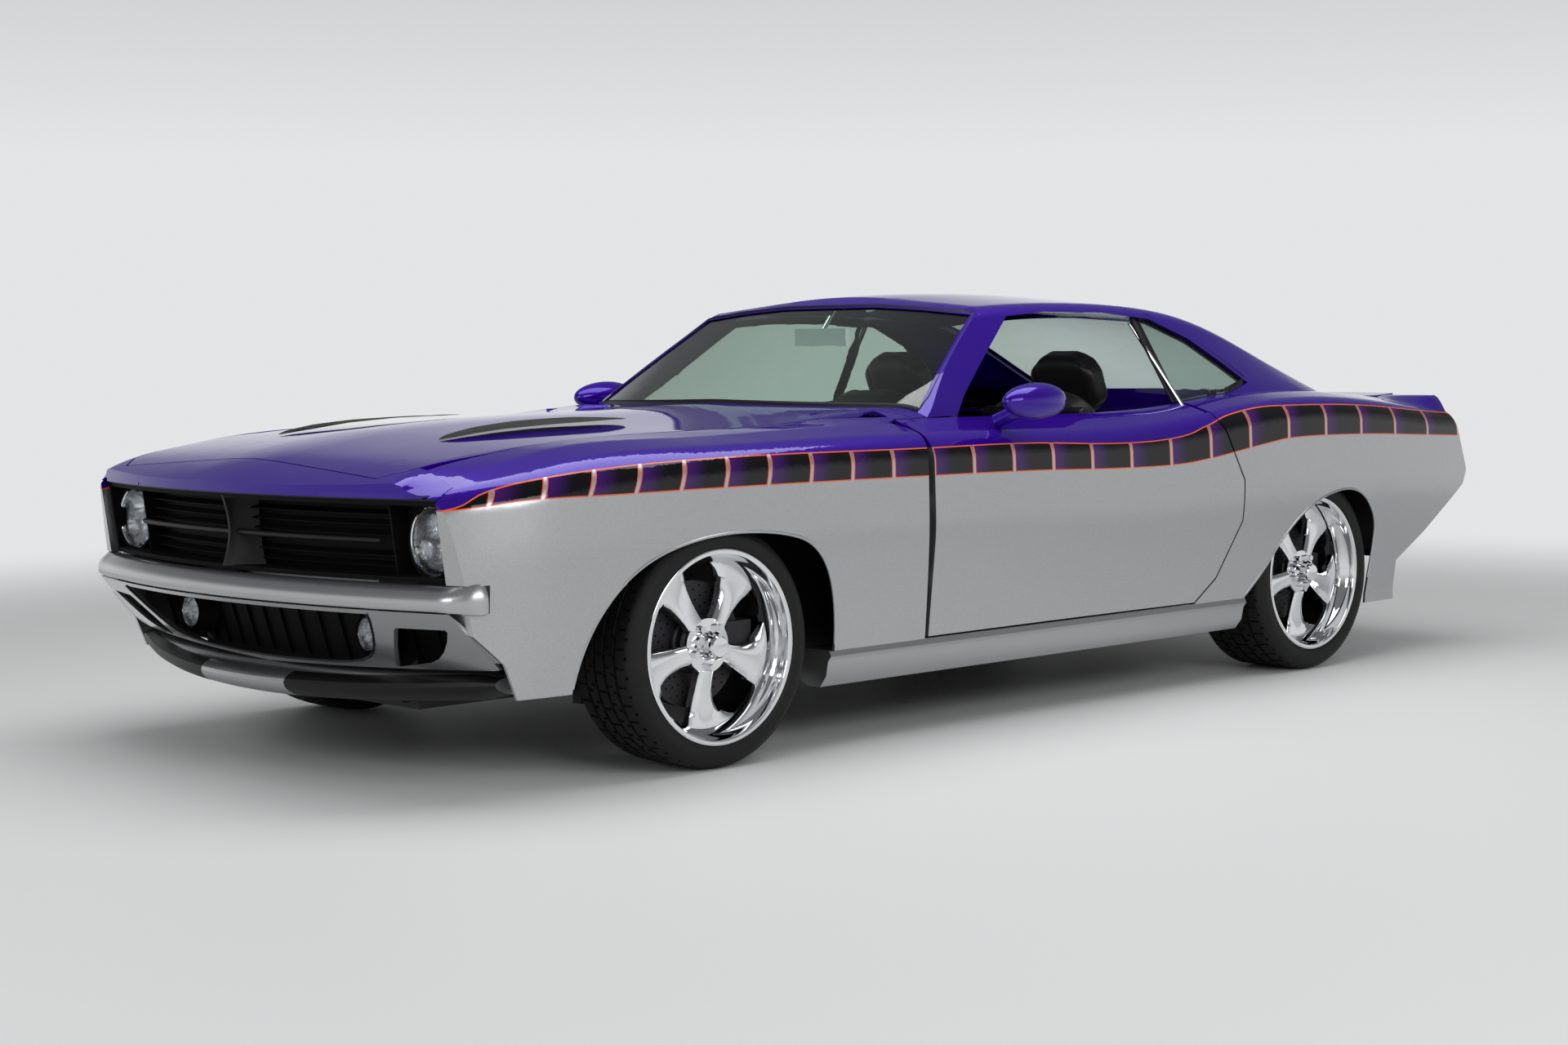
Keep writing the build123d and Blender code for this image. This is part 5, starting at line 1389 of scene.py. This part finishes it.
def make_seal(node, wide, facing_x, facing_side, facing_z):
    bm = bmesh.new()
    bm.from_mesh(nodes[node].data)
    bmesh.ops.remove_doubles(bm, verts=bm.verts, dist=MERGE)
    skins = []
    for face in bm.faces:
        side = math.copysign(1, face.calc_center_median().y)
        out = Vector((facing_x, facing_side * side, facing_z)).normalized()
        if abs(face.normal.dot(out)) > FACING:
            skins.append(face)
    bmesh.ops.delete(bm, geom=skins, context="FACES")
    bmesh.ops.delete(bm, geom=[vert for vert in bm.verts if not vert.link_faces], context="VERTS")
    piece = new_piece(f"{node}_seal", bm, [SEAL_RUBBER])
    thick = piece.modifiers.new("thick", "SOLIDIFY")
    thick.thickness = wide
    thick.offset = 0.0
    dress(piece, body_that_holds(node), "black_trim")


for pane in PANES:
    make_seal(*pane)
print("seals", len(PANES))

# %% [markdown]
# A bright strip stands between each door window and the quarter window behind it. It is a
# thin polished tube through three points of the post.

# %% Quarter post strips
QUARTER_POST = ((-0.699, 0.603, 1.174), (-0.716, 0.704, 1.034), (-0.729, 0.800, 0.899))
for side, hand in HANDS:
    points = [Vector((x, side * y, z)) for x, y, z in QUARTER_POST]
    dress(tube(f"quarter_post_strip_{hand}", points, 0.006, POLISHED), "body", "polished")

# %% [markdown]
# The brakes show through the spokes. A rotor is two turned rings with a vented gap, and
# rows of small dark discs on its face stand for drilled holes. Its hat bolts to the hub.

# %% Brake rotors
# radius in mm of each ring of holes, and its shift in shares of the holes' pitch
HOLE_RINGS = ((102, 0.0), (116, 0.4), (130, 0.8), (144, 0.2), (156, 0.6))
HOLES_ROUND = 20
ROTOR_HALF = 0.014
# Hardly any light comes back out of a drilled hole.
HOLE = grained("shade_in_a_drilled_hole", "030303", 5.0, ("020202", "050505"), Roughness=0.9,
               Specular_IOR_Level=0.1)


def make_rotor(name, radius, hat_depth):
    """Rotor about y = 0 with its hat outwards, sizes in mm."""
    bm = bmesh.new()
    for y0, y1 in ((-14, -4), (4, 14)):
        turned(bm, [(r * MM, y * MM) for r, y in ((88, y0), (radius, y0), (radius, y1), (88, y1))], 72,
               closed=True)
    turned(bm, [(r * MM, y * MM) for r, y in ((86, -9), (radius - 6, -9), (radius - 6, 9), (86, 9))], 48,
           closed=True)
    hat = [(24, 14 + hat_depth), (70, 14 + hat_depth), (76, 10 + hat_depth), (79, 12), (92, 12), (92, 8),
           (74, 8), (66, 8 + hat_depth), (24, 8 + hat_depth)]
    turned(bm, [(r * MM, y * MM) for r, y in hat], 60, closed=True)
    plain = len(bm.faces)
    for ring, shift in HOLE_RINGS:
        for index in range(HOLES_ROUND):
            angle = 2 * math.pi * (index + shift) / HOLES_ROUND
            add_cone(bm, (math.cos(angle) * ring, 13.6, math.sin(angle) * ring), 8, 0.0032, 0.0032, 0.0012)
    bm.faces.ensure_lookup_table()
    for face in bm.faces[plain:]:
        face.material_index = 1
    return new_piece(name, bm, [CAST, HOLE])


for end in ("front", "rear"):
    low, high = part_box(f"disc_{end}_left")
    radius = (high.z - low.z) / 2 / MM
    rotor = make_rotor(f"rotor_{end}", radius, (high.y - low.y) / MM - 40)
    for sign, hand in HANDS:
        middle_y = sign * (low.y + ROTOR_HALF)
        place = Matrix.Translation(((low.x + high.x) / 2, middle_y, (low.z + high.z) / 2))
        twin = placed_copy(rotor, f"rotor_{end}_{hand}_dressed", place @ Matrix.Diagonal((1, sign, 1, 1)))
        dress(twin, f"wheel_{end}_{hand}", "disc_iron", f"disc_{end}_{hand}")
    bpy.data.objects.remove(rotor)

# %% [markdown]
# Pressed steel is folded inwards round a wheel opening. The fold catches a line of light,
# so a thin bead follows the edge of each opening and lies half in the panel.

# %% Wheel opening beads
# x and z of the control points round the front and the rear opening
FRONT_ARCH = [(0.986, 0.270), (0.990, 0.420), (1.075, 0.575), (1.240, 0.619), (1.480, 0.624), (1.697, 0.570),
              (1.828, 0.455), (1.903, 0.305), (1.915, 0.200)]
REAR_ARCH = [(-0.872, 0.240), (-1.000, 0.340), (-1.100, 0.465), (-1.235, 0.565), (-1.400, 0.612),
             (-1.545, 0.604), (-1.652, 0.510), (-1.668, 0.420), (-1.655, 0.290)]
BEAD_R = 0.0045
BEAD_SUNK = 0.002        # how far the bead's middle lies inside the panel


def opening_bead(name, outline, side, panel):
    """A tube along a wheel opening, with each point of a smooth curve dropped onto the panel."""
    skin = surface_of(panel)
    flat = bpy.data.curves.new("flat", "CURVE")
    flat.dimensions = "3D"
    line = flat.splines.new("NURBS")
    line.points.add(len(outline) - 1)
    for point, (x, z) in zip(line.points, outline):
        point.co = (x, 0, z, 1)
    line.order_u = 3
    line.use_endpoint_u = True
    flat.resolution_u = 12
    points = [vert.co.copy() for vert in curve_mesh(flat).vertices]
    middle = Vector((sum(x for x, z in outline) / len(outline), 0, 0.30))
    kept = []
    for point in points:
        out = (point - middle).normalized()
        for step in (0.004, 0.010, 0.018, 0.028):
            place = hit(skin, (point.x + out.x * step, side * 1.2, point.z + out.z * step), (0, -side, 0))
            if place and abs(place.y) > 0.80:
                kept.append(Vector((point.x, place.y - side * BEAD_SUNK, point.z)))
                break
    return tube(name, kept, BEAD_R, PAINT)


for side, hand in HANDS:
    for end, outline, panel in (("front", FRONT_ARCH, "fender"), ("rear", REAR_ARCH, "quarter")):
        # a ray that starts a little outside the edge meets the panel and not the opening
        bead = opening_bead(f"{end}_opening_bead_{hand}", outline, side, f"{panel}_{hand}_panel")
        dress(bead, "body", "paint")
print("beads done")

# %% [markdown]
# The seats are stuffed leather. Each pad starts as a rounded block, is remeshed to even
# faces and is then blown up a little by a cloth simulation with its seams held still, so
# it crowns between them as stitched leather does.

# %% Padding helper
PAD_VOXEL = 0.006
PAD_CAP = 0.012          # no point of a pad moves further than this in the simulation
PAD_PRESSURE = 4.0
PAD_FRAMES = 20
SEAM_HELD = 0.006        # half the width of the strip that is held still along a seam
SEAM_HALF = 0.010        # half the width of the groove that is drawn in afterwards
SEAM_DEPTH = 0.10        # its depth as a share of the pad's half thickness


def flat_copy(piece, name):
    """Mesh of a piece with its modifiers applied."""
    bpy.context.view_layer.update()
    graph = bpy.context.evaluated_depsgraph_get()
    mesh = bpy.data.meshes.new_from_object(piece.evaluated_get(graph))
    mesh.name = name
    return mesh


def make_pad(name, centre, size, tilt, seams=(), round_off=0.34):
    """A padded block of size (deep, wide, thick) about centre, tilted about y.

    A seam is (axis, place): it crosses the pad where its own x (0) or y (1) has that value.
    """
    bm = bmesh.new()
    bmesh.ops.create_cube(bm, size=1.0)
    bmesh.ops.subdivide_edges(bm, edges=bm.edges, cuts=9, use_grid_fill=True)
    for vert in bm.verts:
        u, v, w = (2 * value for value in vert.co)
        edge = max(abs(u), abs(v))
        thin = 1.0 - 0.42 * max(0.0, edge - 0.55) ** 2 / 0.45 ** 2
        plan = 1.0 - round_off * max(0.0, abs(u) + abs(v) - 1.35) ** 1.5
        vert.co = Vector((u * size[0] / 2 * plan, v * size[1] / 2 * plan, w * size[2] / 2 * thin))
    piece = new_piece(name, bm, [LEATHER])
    remesh = piece.modifiers.new("remesh", "REMESH")
    remesh.mode = "VOXEL"
    remesh.voxel_size = PAD_VOXEL
    piece.data = flat_copy(piece, name)
    piece.modifiers.clear()
    rest = [vert.co.copy() for vert in piece.data.vertices]
    held = [vert.index for vert in piece.data.vertices
            if any(abs(vert.co[axis] - at) < SEAM_HELD for axis, at in seams) or abs(vert.co.z) < 0.004]
    group = piece.vertex_groups.new(name="seams")
    group.add(held, 1.0, "REPLACE")
    cloth = piece.modifiers.new("cloth", "CLOTH")
    cloth.settings.use_pressure = True
    cloth.settings.uniform_pressure_force = PAD_PRESSURE
    cloth.settings.effector_weights.gravity = 0.0
    cloth.settings.vertex_group_mass = "seams"
    for step in range(1, PAD_FRAMES + 1):
        bpy.context.scene.frame_set(step)
    grown = flat_copy(piece, name)
    piece.modifiers.clear()
    piece.vertex_groups.clear()
    piece.data = grown
    for vert, start in zip(piece.data.vertices, rest):
        move = vert.co - start
        if move.length > PAD_CAP:
            vert.co = start + move * (PAD_CAP / move.length)
    bpy.context.scene.frame_set(1)
    # seams are drawn in as narrow grooves, and the groove fades out on both sides
    for vert in piece.data.vertices:
        near = min((abs(rest[vert.index][axis] - at) for axis, at in seams), default=1.0)
        if near < SEAM_HALF:
            vert.co.z *= 1.0 - SEAM_DEPTH * (1 - near / SEAM_HALF)
    piece.data.transform(Matrix.Translation(centre) @ Matrix.Rotation(tilt, 4, "Y"))
    piece.data.materials.clear()
    piece.data.materials.append(LEATHER)
    smooth = piece.modifiers.new("smooth", "SMOOTH")
    smooth.iterations = 6
    piece.data = flat_copy(piece, name)
    piece.modifiers.clear()
    for face in piece.data.polygons:
        face.use_smooth = True
    piece.data.set_sharp_from_angle(angle=math.radians(80))
    return piece


# %% [markdown]
# A bucket seat has a base cushion, a taller back cushion between two bolsters, and a
# headrest on its top. A moulded shell carries them and hides the frame.

# %% Front seats
SEAT_Y = 0.385
BASE_LEAN = math.radians(-4)
BACK_LEAN = math.radians(-68)
SHARP = 0.9              # edges that fold more than this, in radians, are rounded


def softened(part, offset, segments):
    """Rounds the sharp edges of a moulded shell."""
    sharp = [edge for edge in part.edges if edge.calc_face_angle(0) > SHARP]
    bmesh.ops.bevel(part, geom=sharp, offset=offset, segments=segments, profile=0.5, affect="EDGES",
                    material=-1)


def make_seat(hand, side):
    y = side * SEAT_Y
    pads = [
        make_pad(f"seat_base_{hand}", (-0.285, y, 0.385), (0.43, 0.45, 0.105), BASE_LEAN,
                 seams=((1, -0.13), (1, 0.13), (0, 0.10), (0, 0.0), (0, -0.10))),
        make_pad(f"seat_back_{hand}", (-0.592, y, 0.690), (0.55, 0.45, 0.110), BACK_LEAN,
                 seams=((1, -0.12), (1, 0.12), (0, 0.12), (0, 0.03), (0, -0.06), (0, -0.15))),
        make_pad(f"headrest_{hand}", (-0.655, y, 0.975), (0.22, 0.27, 0.095), BACK_LEAN,
                 seams=((1, -0.09), (1, 0.09)), round_off=0.62),
    ]
    for pad in pads:
        dress(pad, "body", "leather")
    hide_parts(f"seat_{hand}")
    bm = bmesh.new()
    for low, high, tilt, centre in (
            ((-0.225, -0.215, -0.05), (0.225, 0.215, 0.0), BASE_LEAN, (-0.285, y, 0.345)),
            ((-0.29, -0.215, -0.055), (0.27, 0.215, -0.02), BACK_LEAN, (-0.600, y, 0.665))):
        part = bmesh.new()
        add_box(part, low, high, 8)
        softened(part, 0.012, 3)
        pour(part, bm, Matrix.Translation(centre) @ Matrix.Rotation(tilt, 4, "Y"))
    # two runners carry the seat, and two stubs the headrest
    add_box(bm, (-0.45, y - 0.17, 0.203), (-0.12, y - 0.13, 0.30))
    add_box(bm, (-0.45, y + 0.13, 0.203), (-0.12, y + 0.17, 0.30))
    for shift in (-0.05, 0.05):
        add_cone(bm, (-648, (y + shift) / MM, 945), 12, 0.006, 0.006, 0.012)
    dress(new_piece(f"seat_shell_{hand}", bm, [CABIN]), "body", "leather")


for side, hand in HANDS:
    make_seat(hand, side)

# %% [markdown]
# The rear bench has two places side by side, each with a cushion and a back pad. They are
# padded like the front seats, so the same helper makes them. A moulded shell with rounded
# edges fills the room under and behind them.

# %% Rear seat
REAR_Y = 0.305
rear_pads = []
for side, hand in HANDS:
    y = side * REAR_Y
    rear_pads.append(make_pad(f"rear_cushion_{hand}", (-0.82, y, 0.452), (0.30, 0.56, 0.075),
                              math.radians(2), seams=((1, -0.14), (1, 0.14))))
    rear_pads.append(make_pad(f"rear_back_{hand}", (-1.045, y, 0.66), (0.33, 0.56, 0.07),
                              math.radians(-74), seams=((1, -0.14), (1, 0.14), (0, 0.0))))
for pad in rear_pads:
    dress(pad, "body", "leather")
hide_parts("rear_seat")
low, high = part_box("rear_seat")
bm = bmesh.new()
part = bmesh.new()
add_box(part, (low.x + 0.14, low.y + 0.01, low.z), (high.x - 0.01, high.y - 0.01, 0.425), 12)
add_box(part, (low.x + 0.005, low.y + 0.01, 0.30), (low.x + 0.06, high.y - 0.01, 0.78), 12)
softened(part, 0.008, 2)
pour(part, bm)
dress(new_piece("rear_seat_shell", bm, [CABIN]), "body", "leather")
print("rear seat shell", [round(value, 3) for value in (*low, *high)])
print("seats done")
